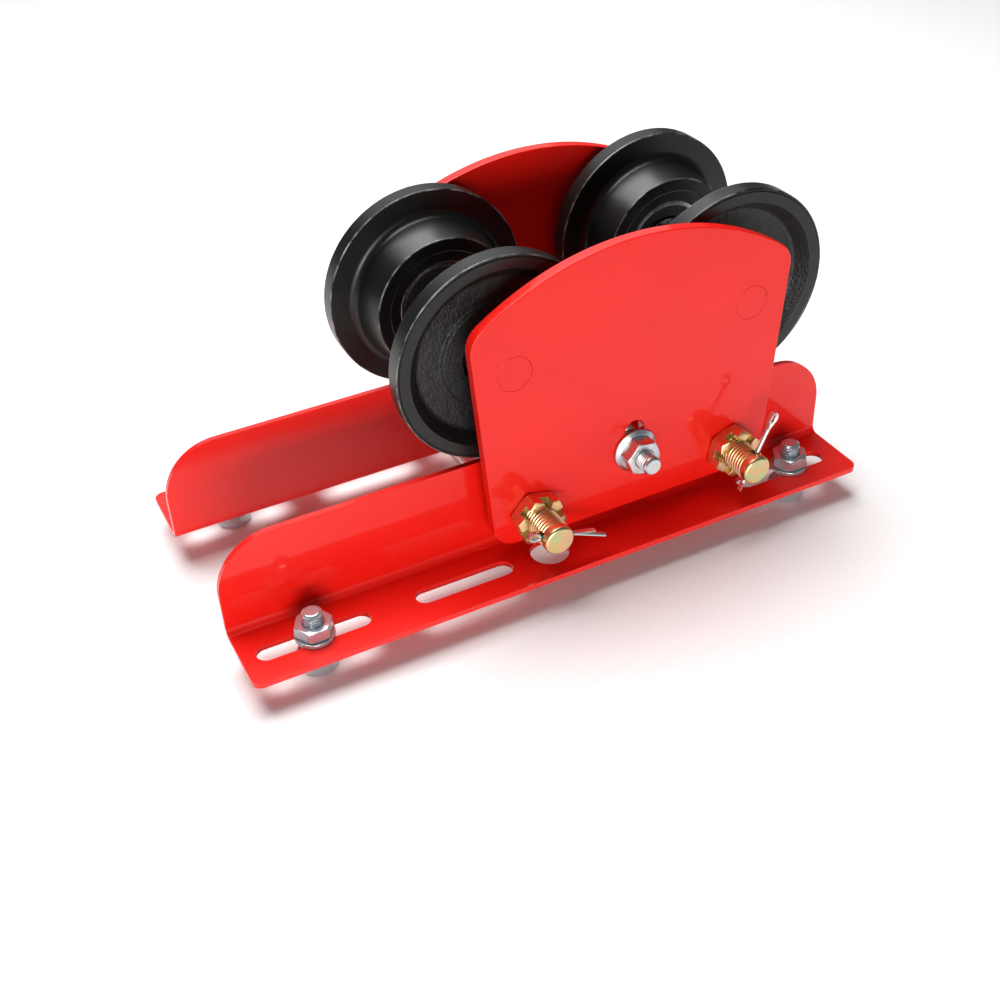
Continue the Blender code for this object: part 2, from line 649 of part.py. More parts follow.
# ---------------------------------------------------------------- hoist bolts
def hoist_bolt(corner, side, x):
    """Bolt set in a slot: head and washer below the hoist's plate, washer and nut above."""
    place = (x, side * SLOT_LINE, 0)
    upright = Matrix()
    name = f"hoist_bolt_{corner}"
    bolt = rod(name, SMALL_BOLT_RADIUS, UNDERSIDE + MM, HOIST_BOLT_TOP, SMALL_FACETS, upright,
               CHROME, place)
    head = rod(f"{name}_head", hex_radius(HOIST_HEX), UNDERSIDE, HOIST_HEAD_TOP, 6, upright,
               location=place)
    combine(bolt, "UNION", head)
    bore = SMALL_BOLT_RADIUS + GAP
    ring(f"hoist_lower_washer_{corner}", bore, WASHER_RADIUS,
         LOWER_WASHER_TOP - WASHER_THICKNESS, LOWER_WASHER_TOP, SMALL_FACETS, upright, CHROME, place)
    washer_low = SHEET + GAP
    ring(f"hoist_upper_washer_{corner}", bore, WASHER_RADIUS, washer_low,
         washer_low + WASHER_THICKNESS, SMALL_FACETS, upright, CHROME, place)
    nut_low = washer_low + WASHER_THICKNESS + GAP
    nut = rod(f"hoist_nut_{corner}", hex_radius(HOIST_HEX), nut_low, nut_low + HOIST_NUT_HEIGHT, 6,
              upright, CHROME, place)
    hole = rod(f"hoist_nut_{corner}_cut", bore, nut_low - MM, nut_low + HOIST_NUT_HEIGHT + MM,
               SMALL_FACETS, upright, location=place)
    combine(nut, "DIFFERENCE", hole)


# ---------------------------------------------------------------- assembly
def main():
    for side, side_name in SIDE_NAMES.items():
        side_plate(side)
        angle_bracket(side)
        for x, end_name in ((-HALF_BASE, "left"), (HALF_BASE, "right")):
            corner = f"{side_name}_{end_name}"
            wheel(corner, side, x)
            bearing(corner, side, x)
            wheel_stud(corner, side, x)
            circlip(corner, side, x)
        for x, end_name in zip(HOIST_BOLT_XS, ("left", "right")):
            hoist_bolt(f"{side_name}_{end_name}", side, x)
    load_bolt("left", -HALF_BOLTS, LEFT_COTTER_TURN)
    load_bolt("right", HALF_BOLTS, RIGHT_COTTER_TURN)
    castle_nut("left", -HALF_BOLTS, LEFT_NUT_TURN)
    castle_nut("right", HALF_BOLTS, RIGHT_NUT_TURN)
    cotter_pin("left", -HALF_BOLTS, LEFT_COTTER_TURN, LEFT_EYE_REACH, COTTER_SPLAY)
    cotter_pin("right", HALF_BOLTS, RIGHT_COTTER_TURN, RIGHT_EYE_REACH, 0)
    load_bolt_spacers("left", -HALF_BOLTS)
    load_bolt_spacers("right", HALF_BOLTS)
    centre_bolt()


main()
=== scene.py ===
"""Looks of a push trolley for an I-beam: painted side plates and brackets, black cast wheels on
shielded bearings, and zinc-plated bolts, nuts and pins. X runs along the beam, Y across it and
Z up, in metres. "Out" is measured along a piece's own axis, away from the beam's middle plane."""

import math

import bmesh
import bpy
from bpy.props import FloatProperty, FloatVectorProperty, IntProperty, PointerProperty
from mathutils import Matrix, Vector, noise


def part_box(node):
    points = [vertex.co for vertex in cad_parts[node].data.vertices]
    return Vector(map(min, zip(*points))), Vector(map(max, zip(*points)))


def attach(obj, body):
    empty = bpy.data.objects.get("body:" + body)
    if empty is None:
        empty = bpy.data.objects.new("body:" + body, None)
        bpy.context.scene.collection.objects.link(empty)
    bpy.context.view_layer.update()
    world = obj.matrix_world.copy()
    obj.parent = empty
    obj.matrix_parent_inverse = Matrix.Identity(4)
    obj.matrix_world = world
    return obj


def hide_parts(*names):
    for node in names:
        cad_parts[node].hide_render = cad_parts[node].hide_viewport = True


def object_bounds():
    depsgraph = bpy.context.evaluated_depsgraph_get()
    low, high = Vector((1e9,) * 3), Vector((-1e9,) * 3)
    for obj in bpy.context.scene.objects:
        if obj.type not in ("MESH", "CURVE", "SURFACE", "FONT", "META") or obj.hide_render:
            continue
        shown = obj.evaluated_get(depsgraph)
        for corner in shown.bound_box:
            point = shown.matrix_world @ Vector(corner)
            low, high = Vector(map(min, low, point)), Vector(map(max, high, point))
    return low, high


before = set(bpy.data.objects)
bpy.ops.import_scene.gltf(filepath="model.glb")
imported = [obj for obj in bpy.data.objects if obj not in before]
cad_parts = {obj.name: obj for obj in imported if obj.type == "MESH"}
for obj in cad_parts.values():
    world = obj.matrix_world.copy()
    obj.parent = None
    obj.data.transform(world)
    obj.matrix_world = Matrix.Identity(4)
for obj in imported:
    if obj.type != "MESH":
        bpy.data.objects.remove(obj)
CAD_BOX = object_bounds()

bl_info = {
    "name": "Beam Trolley",
    "version": (1, 0, 0),
    "blender": (4, 5, 0),
    "location": "View3D > Sidebar > Trolley",
    "description": "Builds the detailed pieces and finishes of a push trolley for an I-beam",
    "category": "Object",
}

MM = 0.001
FULL_TURN = 2 * math.pi
SIDES = {"front": -1, "rear": 1}
ENDS = ("left", "right")
CORNERS = [f"{side}_{end}" for side in SIDES for end in ENDS]


# Fits and places
FIT_GAP = 0.3 * MM                # between pieces that nest
FLOOR_DROP = 0.3 * MM             # of the floor under the lowest piece
RIVET_GAP = 0.08 * MM             # round a riveted end, filled by the paint
PAINTED_END = 1.5 * MM            # of a riveted stud, inwards from the plate's face
NUT_PLAY = 0.1 * MM               # between a nut's bore and its thread
RACE = 3.6 * MM                   # thickness of a bearing's inner ring
CIRCLIP_GROOVE = 0.9 * MM
CIRCLIP_MOUTH = 5 * MM
CIRCLIP_HOLE = 0.9 * MM           # radius of the holes for the pliers
WELD = 0.002 * MM                 # points nearer than this become one
LEVEL = 0.001 * MM                # points within this of a height lie on it
THREAD_DEPTH = 0.61               # in pitches
THREAD_RUN_OUT = 0.5              # how far a thread fades out at its ends, in pitches
THREAD_SMOOTH = 32                # degrees up to which a threaded piece's edges look round
CENTRE_DRILL = 1.6 * MM           # radius of the lathe centre in a stud's end
SLOTS_FROM_LEFT = ((7.4 * MM, 65.4 * MM), (89.4 * MM, 142.4 * MM), (279.0 * MM, 334.4 * MM))
ROUND_HOLE_FROM_LEFT = 163.9 * MM
SLOT_INSET = 18.7 * MM            # slot centre line from the flange's edge
WASHER_RADIUS = 10 * MM
PLAIN_END = 4.0 * MM              # of a load bolt, without thread
HEAD_ROOT = 2 * MM                # how far a bolt's shank goes into its head
COTTER_INSET = 6.5 * MM           # cotter hole from a load bolt's end
COTTER_TURNS = (math.radians(-15), math.radians(246))
EYE_REACHES = (3.4 * MM, 20 * MM)  # from the bolt's surface to the eye's centre
COTTER_LEGS = (42 * MM, 43 * MM)  # from the eye's centre to the longer tip
COTTER_SHORTER = 7 * MM
COTTER_SPLAYS = (3.4 * MM, 0)
EYE_SHAPE = 0.66                  # width over length of a cotter pin's eye
CASTLE_TURNS = (math.radians(17), math.radians(50))
HEX_FACE = 0.487                  # radius of a hexagon's end face over its width across flats
FLANGE_EDGE = 1.2 * MM            # thickness of a flange nut's flange at its edge
CENTRE_TURN = math.radians(20)
HOIST_NUT_TURN = math.radians(30)
CAMERA_PLACE = (-0.26155, -0.5335, 0.4546)
CAMERA_ANGLES = (-25.73, -37.07, -2.5)   # yaw, pitch and roll in degrees
CAMERA_LENS = 48.863
LIGHTS = {                        # width and height, and place, of each soft rectangle
    "front_light": ((0.8, 0.36), (-0.5, -1.5, 0.24)),
    "top_light": ((1.2, 0.9), (-0.1, 0.40, 1.35)),
    "back_card": ((1.6, 0.8), (0.3, 1.3, 0.95)),
}


# ---------------------------------------------------------------- places read from the frame
def box_centre(node):
    low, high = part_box(node)
    return (low + high) / 2


def middle_plane():
    """Y of the beam's middle plane, halfway between the two side plates."""
    return (box_centre("side_plate_front").y + box_centre("side_plate_rear").y) / 2


def out_range(node, side):
    """How far out from the middle plane a node starts and ends, on one side."""
    low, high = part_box(node)
    return sorted((side * (low.y - middle_plane()), side * (high.y - middle_plane())))


def half_width(node):
    low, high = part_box(node)
    return (high.x - low.x) / 2


def half_height(node):
    low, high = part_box(node)
    return (high.z - low.z) / 2


def side_frame(side, x, z):
    """Local Z points out on that side and local Y points up, with the origin at (x, z)."""
    facing = Matrix.Rotation(math.pi / 2, 4, "X")
    if side > 0:
        facing = Matrix.Rotation(math.pi, 4, "Z") @ facing
    return Matrix.Translation((x, middle_plane(), z)) @ facing


def axis_frame(side, node):
    """The side frame on a round node's axis."""
    centre = box_centre(node)
    return side_frame(side, centre.x, centre.z)


def side_of(corner):
    return SIDES[corner.split("_")[0]]


# ---------------------------------------------------------------- colours and materials
def linear(code, alpha=1.0):
    """An sRGB hex colour as the linear values that shaders take."""
    channels = [int(code[i:i + 2], 16) / 255 for i in (0, 2, 4)]
    return (*(c / 12.92 if c <= 0.04045 else ((c + 0.055) / 1.055) ** 2.4 for c in channels), alpha)


def shade(colour, factor=1.0):
    """A linear colour made lighter or darker, with its alpha."""
    return (*(factor * channel for channel in colour), 1)


def add_node(material, kind, inputs=None, **settings):
    """Adds a node; inputs maps each socket to a value or to another node's output."""
    node = material.node_tree.nodes.new(kind)
    for name, value in settings.items():
        setattr(node, name, value)
    for socket, value in (inputs or {}).items():
        if isinstance(value, bpy.types.NodeSocket):
            material.node_tree.links.new(value, node.inputs[socket])
        else:
            node.inputs[socket].default_value = value
    return node


def blank_material(name, colour):
    material = bpy.data.materials.new(name)
    material.use_nodes = True
    material.node_tree.nodes.clear()
    material.diffuse_color = colour
    return material


def finish_material(material, **inputs):
    """Ends a material with its shader; the names in inputs are sockets with _ for a space."""
    shader = add_node(material, "ShaderNodeBsdfPrincipled",
                      {name.replace("_", " "): value for name, value in inputs.items()})
    add_node(material, "ShaderNodeOutputMaterial", {"Surface": shader.outputs["BSDF"]})
    return material


def object_point(material):
    return add_node(material, "ShaderNodeTexCoord").outputs["Object"]


def grain(material, spacing, detail=2.0, roughness=0.5, stretch=None):
    """Noise whose lumps are about that far apart, in metres; stretch scales its three axes."""
    point = object_point(material)
    if stretch:
        point = add_node(material, "ShaderNodeMapping",
                         {"Vector": point, "Scale": stretch}).outputs["Vector"]
    return add_node(material, "ShaderNodeTexNoise",
                    {"Vector": point, "Scale": 1 / spacing, "Detail": detail,
                     "Roughness": roughness}).outputs["Fac"]


def ramp(material, factor, stops):
    """A colour ramp through (position, colour) stops."""
    node = add_node(material, "ShaderNodeValToRGB", {"Fac": factor})
    elements = node.color_ramp.elements
    while len(elements) < len(stops):
        elements.new(1.0)
    for element, (position, colour) in zip(elements, stops):
        element.position = position
        element.color = colour
    return node.outputs["Color"]


def spread(material, factor, low, high):
    """Maps a 0 to 1 factor to a range."""
    return add_node(material, "ShaderNodeMapRange",
                    {"Value": factor, "To Min": low, "To Max": high}).outputs["Result"]


def bump(material, height, depth, strength=1.0, below=None):
    """Raises the surface by height times depth, in metres."""
    inputs = {"Height": height, "Distance": depth, "Strength": strength}
    if below:
        inputs["Normal"] = below
    return add_node(material, "ShaderNodeBump", inputs).outputs["Normal"]


def red_stoved_enamel(settings):
    """Sprayed and baked gloss enamel on steel: a hard wet gloss over a deep orange red. The
    spray leaves orange peel about 3 mm across, and a slightly uneven film colours it."""
    red = settings.paint_colour
    material = blank_material("red_stoved_enamel", shade(red))
    film = grain(material, 45 * MM)
    colour = ramp(material, film, [(0.3, shade(red, 0.93)), (0.7, shade(red))])
    peel = grain(material, 3 * MM, detail=1.0)
    wave = grain(material, 14 * MM, detail=0.0)
    normal = bump(material, wave, 0.03 * MM, below=bump(material, peel, settings.orange_peel))
    rough = spread(material, grain(material, 20 * MM), 0.36, 0.44)
    return finish_material(material, Base_Color=colour, Roughness=rough, Normal=normal, IOR=1.5,
                           Specular_IOR_Level=0.2, Coat_Weight=settings.paint_gloss,
                           Coat_Roughness=0.06, Coat_IOR=1.5)


def black_machined_iron(settings):
    """Turned faces of a grey iron casting, dip-painted black: satin, with broad soft highlights
    and fine tool marks, drawn about 0.7 mm apart so that they show."""
    black = settings.iron_colour
    material = blank_material("black_machined_iron", shade(black))
    patch = grain(material, 16 * MM, detail=4.0)
    colour = ramp(material, patch, [(0.35, shade(black)), (0.75, shade(black, 1.35))])
    fine = grain(material, 0.7 * MM, detail=3.0, stretch=(1, 0.6, 1))
    rough = spread(material, patch, 0.27, 0.40)
    return finish_material(material, Base_Color=colour, Roughness=rough, IOR=1.5,
                           Specular_IOR_Level=0.42, Normal=bump(material, fine, 0.04 * MM, 0.6))


def painted_edge_highlight(settings):
    """Painted highlight along the wheels' edges: a lighter grey, metallic in patches, in an uneven
    line with black gaps 5 to 15 mm long."""
    black = settings.iron_colour
    material = blank_material("painted_edge_highlight", shade(black))
    highlight_patches = grain(material, 9 * MM, detail=5.0, roughness=0.65)
    # painted highlight: the edge faces turn lighter grey in an uneven line
    colour = ramp(material, highlight_patches, [(0.40, shade(black)), (0.50, linear("5C5B59")),
                                   (0.62, linear("8A8987"))])
    highlight_metal = spread(material, highlight_patches, 0.1, 0.7)
    return finish_material(material, Base_Color=colour, Metallic=highlight_metal, Roughness=0.34, IOR=1.5)


def nitrile_seal(settings):
    """Moulded nitrile rubber: nearly black, dull, with a faint bloom in patches 2 mm wide."""
    material = blank_material("nitrile_seal", linear("1B1B1C"))
    bloom = grain(material, 2 * MM, detail=3.0)
    colour = ramp(material, bloom, [(0.3, linear("151516")), (0.7, linear("222223"))])
    return finish_material(material, Base_Color=colour, Roughness=0.58, IOR=1.5,
                           Normal=bump(material, bloom, 0.02 * MM, 0.5))


def black_sand_casting(settings):
    """The same iron as it left the sand mould, painted: pimples of a coarse moulding sand, about
    1.1 mm apart, on a duller skin, with painted highlight on the pimples' tops that shows as
    speckles."""
    black = settings.iron_colour
    material = blank_material("black_sand_casting", shade(black))
    sand = grain(material, 1.1 * MM, detail=3.0, roughness=0.6)
    # painted highlight: the raised tops of the pimples are drawn lighter
    colour = ramp(material, sand, [(0.4, shade(black)), (0.8, shade(black, 2.2))])
    return finish_material(material, Base_Color=colour, Roughness=0.36, IOR=1.5,
                           Normal=bump(material, sand, 0.5 * MM))


def yellow_zinc(settings):
    """Zinc plate with a yellow chromate film: a pale gold metal, softly glossy, whose film is so
    thin that it turns green and pink in patches 4 to 8 mm wide, as oil on water does."""
    material = blank_material("yellow_chromate_zinc", linear("D9B36A"))
    film = grain(material, 5 * MM, detail=1.5, stretch=(1, 1.5, 1))
    colour = ramp(material, film, [(0.32, linear("C4D0A0")), (0.42, linear("DCC888")),
                                   (0.52, linear("E6C48C")), (0.60, linear("E6B79C")),
                                   (0.70, linear("DCCB9A"))])
    rough = spread(material, grain(material, 2 * MM, detail=3.0), 0.26, 0.40)
    normal = bump(material, grain(material, 0.6 * MM), 0.012 * MM)
    return finish_material(material, Base_Color=colour, Metallic=1.0, Roughness=rough,
                           Normal=normal)


def blue_zinc(settings):
    """Zinc plate with a clear blue chromate film: a bright silver metal with cold patches and a
    few straw-coloured ones, and the soft gloss of a tumbled part."""
    material = blank_material("blue_chromate_zinc", linear("CFD6DA"))
    film = grain(material, 6 * MM)
    colour = ramp(material, film, [(0.32, linear("C3D2DC")), (0.5, linear("DADFE1")),
                                   (0.7, linear("DCD9CB"))])
    rough = spread(material, grain(material, 1.5 * MM, detail=3.0), 0.26, 0.40)
    normal = bump(material, grain(material, 0.5 * MM), 0.01 * MM)
    return finish_material(material, Base_Color=colour, Metallic=1.0, Roughness=rough,
                           Normal=normal)


def hard_chrome(settings):
    """Chrome plate on cold-headed steel: bright and slightly cold, a little milky from handling,
    with faint ripples 2 mm apart from the heading under it."""
    material = blank_material("bright_chrome_plate", linear("D4D7DA"))
    rough = spread(material, grain(material, 3 * MM, detail=3.0), 0.14, 0.24)
    normal = bump(material, grain(material, 2 * MM, detail=1.0), 0.012 * MM)
    return finish_material(material, Base_Color=linear("BCC5CB"), Metallic=0.75, Roughness=rough,
                           Normal=normal)


def ground_steel(settings):
    """Hardened bearing steel, ground: neutral grey with a fine grinding lay, drawn 0.4 mm apart
    so that it shows, and a thin shine of oil."""
    material = blank_material("ground_bearing_steel", linear("B9BBBD"))
    lay = grain(material, 0.4 * MM)
    rough = spread(material, lay, 0.18, 0.32)
    return finish_material(material, Base_Color=linear("B4B6B8"), Metallic=1.0, Roughness=rough,
                           Normal=bump(material, lay, 0.008 * MM), Coat_Weight=0.15)


def oiled_spring_steel(settings):
    """Hardened and oiled spring steel: dark brown-black scale with a dull metallic shine."""
    material = blank_material("oiled_spring_steel", linear("4A4744"))
    patch = grain(material, 3 * MM, detail=4.0)
    colour = ramp(material, patch, [(0.3, linear("45413D")), (0.7, linear("67625C"))])
    return finish_material(material, Base_Color=colour, Metallic=1.0,
                           Roughness=spread(material, patch, 0.30, 0.45))


def matt_paper(settings):
    """Seamless backdrop paper: an even, matt, nearly white surface with a faint fibre."""
    material = blank_material("matt_backdrop_paper", linear("F4F4F4"))
    fibre = grain(material, 3 * MM, detail=4.0)
    colour = ramp(material, fibre, [(0.0, linear("F2F2F2")), (1.0, linear("F7F7F7"))])
    return finish_material(material, Base_Color=colour, Roughness=0.9,
                           Normal=bump(material, fibre, 0.02 * MM, 0.5))


MAKERS = {                        # each finish's maker and its slot
    "enamel": (red_stoved_enamel, "red_paint"),
    "machined_iron": (black_machined_iron, "black_iron"),
    "sand_iron": (black_sand_casting, "black_iron"),
    # the painted highlight on the wheels' edges
    "iron_edge_highlight": (painted_edge_highlight, "black_iron"),
    "seal": (nitrile_seal, "bearing_steel"),
    "yellow_zinc": (yellow_zinc, "yellow_zinc"),
    "blue_zinc": (blue_zinc, "bright_zinc"),
    "chrome": (hard_chrome, "chrome_fastener"),
    "bearing_steel": (ground_steel, "bearing_steel"),
    "spring_steel": (oiled_spring_steel, "bearing_steel"),
    "paper": (matt_paper, None),
}
made_materials = {}


def finish(name):
    """The material of that finish, made once."""
    if name not in made_materials:
        made_materials[name] = MAKERS[name][0](bpy.context.scene.trolley_finish)
    return made_materials[name]


# ---------------------------------------------------------------- modelling
def arc(centre, radius, start, end, steps):
    """Points on an arc; the angles are in degrees."""
    made = []
    for step in range(steps + 1):
        angle = math.radians(start + (end - start) * step / steps)
        made.append((centre[0] + radius * math.cos(angle), centre[1] + radius * math.sin(angle)))
    return made


def ring(centre, radius, steps):
    """Points right round a circle."""
    return arc(centre, radius, 0, 360, steps)[:-1]


def softened(corners, closed=True, steps=4):
    """An outline whose corners are (across, up, radius); each radius becomes an arc."""
    made = []
    for index, (across, up, radius) in enumerate(corners):
        here = Vector((across, up))
        at_end = not closed and index in (0, len(corners) - 1)
        if radius <= 0 or at_end:
            made.append(tuple(here))
            continue
        before = (Vector(corners[index - 1][:2]) - here).normalized()
        after = (Vector(corners[(index + 1) % len(corners)][:2]) - here).normalized()
        half = before.angle(after) / 2
        centre = here + (before + after).normalized() * radius / math.sin(half)
        first = here + before * radius / math.tan(half) - centre
        last = here + after * radius / math.tan(half) - centre
        sweep = math.atan2(first.cross(last), first.dot(last))
        for step in range(steps + 1):
            turn = Matrix.Rotation(sweep * step / steps, 2)
            made.append(tuple(centre + turn @ first))
    return made


def tidy(shape):
    """Welds doubles and points every face outwards."""
    bmesh.ops.remove_doubles(shape, verts=shape.verts, dist=WELD)
    bmesh.ops.recalc_face_normals(shape, faces=shape.faces)
    return shape


def turned(profile, steps=96):
    """Spins (radius, out) points about the local Z axis. A profile that starts on the axis ends
    on it; any other one is a closed loop."""
    shape = bmesh.new()
    corners = [shape.verts.new((radius, 0, out)) for radius, out in profile]
    edges = [shape.edges.new(pair) for pair in zip(corners, corners[1:])]
    if profile[0][0] > 0:
        edges.append(shape.edges.new((corners[-1], corners[0])))
    bmesh.ops.spin(shape, geom=corners + edges, cent=(0, 0, 0), axis=(0, 0, 1),
                   angle=FULL_TURN, steps=steps, use_merge=True)
    return tidy(shape)


def slab(outline, low, high):
    """A flat outline in local XY pushed from low to high along Z."""
    shape = bmesh.new()
    face = shape.faces.new([shape.verts.new((across, up, low)) for across, up in outline])
    grown = bmesh.ops.extrude_face_region(shape, geom=[face], use_keep_orig=True)
    lifted = [item for item in grown["geom"] if isinstance(item, bmesh.types.BMVert)]
    bmesh.ops.translate(shape, verts=lifted, vec=(0, 0, high - low))
    return tidy(shape)


def prism(sides, corner_radius, low, high, phase=0.0):
    """An upright prism about the local Z axis; its first corner is at the angle phase."""
    shape = bmesh.new()
    bmesh.ops.create_cone(shape, cap_ends=True, segments=sides, radius1=corner_radius,
                          radius2=corner_radius, depth=high - low)
    shape.transform(Matrix.Translation((0, 0, (low + high) / 2)) @ Matrix.Rotation(phase, 4, "Z"))
    return shape


def block(low, high, turn=0.0):
    """A box between two corners, then turned about the local Z axis."""
    shape = bmesh.new()
    bmesh.ops.create_cube(shape, size=1)
    size = Vector(high) - Vector(low)
    middle = (Vector(high) + Vector(low)) / 2
    shape.transform(Matrix.Rotation(turn, 4, "Z") @ Matrix.Translation(middle)
                    @ Matrix.Diagonal((*size, 1)))
    return shape


def loose_object(name, shape):
    """An object at the origin with that shape, which it uses up."""
    mesh = bpy.data.meshes.new(name)
    shape.to_mesh(mesh)
    shape.free()
    made = bpy.data.objects.new(name, mesh)
    bpy.context.scene.collection.objects.link(made)
    return made


def round_edges(target, width):
    """Rounds the edges that turn by more than 40 degrees."""
    edges = target.modifiers.new("rounded_edges", "BEVEL")
    edges.width = width
    edges.segments = 3
    edges.limit_method = "ANGLE"
    edges.angle_limit = math.radians(40)


def finished_shape(target):
    """The shape of an object with its modifiers applied, or of a curve object's sweep."""
    graph = bpy.context.evaluated_depsgraph_get()
    mesh = bpy.data.meshes.new_from_object(target.evaluated_get(graph))
    shape = bmesh.new()
    shape.from_mesh(mesh)
    bpy.data.meshes.remove(mesh)
    return shape


def carved(shape, *steps):
    """Applies steps in turn, each (Boolean operation, tool shape) or ("BEVEL", width), and
    returns the new shape."""
    target = loose_object("carving", shape)
    tools = []
    for operation, tool in steps:
        if operation == "BEVEL":
            round_edges(target, tool)
            continue
        made = loose_object("carving_tool", tool)
        step = target.modifiers.new("carve", "BOOLEAN")
        step.operation = operation
        step.object = made
        step.solver = "EXACT"
        tools.append(made)
    result = finished_shape(target)
    for thing in [target, *tools]:
        bpy.data.objects.remove(thing)
    return result


def piece(name, shape, body, node, finishes, place=None, pick=None, bevel=0.0, smooth=40):
    """Makes a finished piece that stands for one CAD node. pick(face centre) gives the index of
    a face's finish, bevel is the rounding left on its sharp edges, and smooth is the angle in
    degrees up to which they look round."""
    names = [finishes] if isinstance(finishes, str) else finishes
    for face in shape.faces:
        face.material_index = pick(face.calc_center_median()) if pick else 0
    if place:
        shape.transform(place)
        if place.determinant() < 0:
            bmesh.ops.reverse_faces(shape, faces=shape.faces)
    made = loose_object(name, shape)
    for label in names:
        made.data.materials.append(finish(label))
    made.data.shade_smooth()
    made.data.set_sharp_from_angle(angle=math.radians(smooth))
    if bevel:
        round_edges(made, bevel)
    made.modifiers.new("flat_faces", "WEIGHTED_NORMAL").keep_sharp = True
    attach(made, body)
    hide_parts(node)


def hex_corner(flats):
    return flats / math.sqrt(3)


def chamfered_hex(flats, low, high, bore=0.0, phase=0.0, both=True):
    """A hexagon whose corners are turned to 30 degree chamfers, at the top or at both ends. It
    is bored if bore is given."""
    corner = hex_corner(flats)
    face = HEX_FACE * flats
    slope = math.tan(math.radians(30))
    drop = (corner - face) * slope
    wide = corner + 0.5 * MM
    spare = (wide - corner) * slope
    lower = [(wide, low + drop + spare), (face, low)] if both else [(wide, low)]
    profile = [(face, high), (wide, high - drop - spare), *lower]
    if bore:
        lead = 0.5 * MM
        profile = [(bore + lead, high), *profile, (bore + lead, low), (bore, low + lead),
                   (bore, high - lead)]
    else:
        profile = [(0, high), *profile, (0, low)]
    return carved(prism(6, corner, low - MM, high + MM, phase), ("INTERSECT", turned(profile, 72)))


def bolt_head(flats, low, high):
    """A hexagon with its chamfer at the bottom."""
    head = chamfered_hex(flats, low, high, both=False)
    head.transform(Matrix.Translation((0, 0, low + high)) @ Matrix.Rotation(math.pi, 4, "X"))
    return head


def grow_rings(shape, edges, points):
    """Extrudes a round open edge to each (radius, out) in turn, and closes the last one."""
    for radius, out in points:
        grown = bmesh.ops.extrude_edge_only(shape, edges=edges)["geom"]
        for vert in [item for item in grown if isinstance(item, bmesh.types.BMVert)]:
            across = Vector((vert.co.x, vert.co.y)).normalized() * radius
            vert.co = (across.x, across.y, out)
        edges = [item for item in grown if isinstance(item, bmesh.types.BMEdge)
                 and item.is_boundary and all(abs(v.co.z - out) < LEVEL for v in item.verts)]
    bmesh.ops.contextual_create(shape, geom=edges)


def threaded_rod(radius, pitch, low, high, below, above, steps=40):
    """A rod with a rolled thread from low to high that runs out at both ends. below and above
    are the (radius, out) points of its plain ends."""
    root = radius - THREAD_DEPTH * pitch
    groove = [(radius, 0.0), (radius, 0.12), (root, 0.44), (root, 0.56), (radius, 0.88),
              (radius, 1.0)]
    turns = math.ceil((high - low) / pitch) + 2
    shape = bmesh.new()
    start = low - pitch
    corners = [shape.verts.new((r, 0, start + share * pitch)) for r, share in groove]
    edges = [shape.edges.new(pair) for pair in zip(corners, corners[1:])]
    bmesh.ops.spin(shape, geom=corners + edges, cent=(0, 0, 0), axis=(0, 0, 1),
                   dvec=(0, 0, pitch / steps), angle=FULL_TURN * turns, steps=steps * turns)
    bmesh.ops.remove_doubles(shape, verts=shape.verts, dist=2.5 * WELD)
    for vert in shape.verts:
        across = Vector((vert.co.x, vert.co.y))
        fade = min(vert.co.z - low, high - vert.co.z) / (THREAD_RUN_OUT * pitch)
        depth = (radius - across.length) * min(max(fade, 0.0), 1.0)
        across = across.normalized() * (radius - depth)
        vert.co = (across.x, across.y, vert.co.z)
    for level, normal in ((low, (0, 0, -1)), (high, (0, 0, 1))):
        bmesh.ops.bisect_plane(shape, geom=[*shape.verts, *shape.edges, *shape.faces],
                               dist=LEVEL, plane_co=(0, 0, level), plane_no=normal,
                               clear_outer=True)
    for level, points in ((low, below), (high, above)):
        edge = [e for e in shape.edges if e.is_boundary
                and all(abs(v.co.z - level) < 10 * LEVEL for v in e.verts)]
        grow_rings(shape, edge, points)
    return tidy(shape)


def washer(inner, outer, low, high, edge=0.3 * MM, steps=72):
    """A flat ring with rounded edges, out of a press."""
    corners = [(inner, high, edge / 2), (outer, high, edge), (outer, low, edge / 2),
               (inner, low, edge)]
    return turned(softened(corners, steps=3), steps)


# ---------------------------------------------------------------- settings
def length(name, description, default):
    """A length setting, in metres."""
    return FloatProperty(name=name, description=description, unit="LENGTH", default=default)


class TrolleyFinishSettings(bpy.types.PropertyGroup):
    paint_colour: FloatVectorProperty(
        name="Paint", description="Colour of the enamel on the plates and brackets",
        subtype="COLOR", size=3, min=0, max=1, default=linear("E8160A")[:3])
    paint_gloss: FloatProperty(
        name="Paint gloss", description="How strong the clear gloss over the paint is",
        subtype="FACTOR", min=0, max=1, default=0.5)
    orange_peel: FloatProperty(
        name="Orange peel", description="Height of the ripples that spraying leaves",
        unit="LENGTH", min=0, max=0.001, default=0.02 * MM)
    iron_colour: FloatVectorProperty(
        name="Wheel paint", description="Colour of the black paint on the cast wheels",
        subtype="COLOR", size=3, min=0, max=1, default=linear("0E0F0E")[:3])


class TrolleyPlateSettings(bpy.types.PropertyGroup):
    crown_radius: length("Crown radius", "Radius of the side plates' curved top", 145 * MM)
    shoulder_radius: length("Shoulder radius", "Rounding of the side plates' upper corners",
                            14 * MM)
    foot_radius: length("Foot radius", "Rounding of the side plates' lower corners", 13 * MM)
    taper: FloatProperty(
        name="Taper", description="Lean of the side plates' side edges", subtype="ANGLE",
        default=math.radians(4.35))
    slot_length: length("Slot length", "Length of the upright slot for the centre bolt", 22.5 * MM)
    edge_rounding: length("Edge rounding", "Rounding of the painted edges", 0.7 * MM)
    hole_play: length("Hole play", "Radial play of a bolt in its hole", 0.5 * MM)


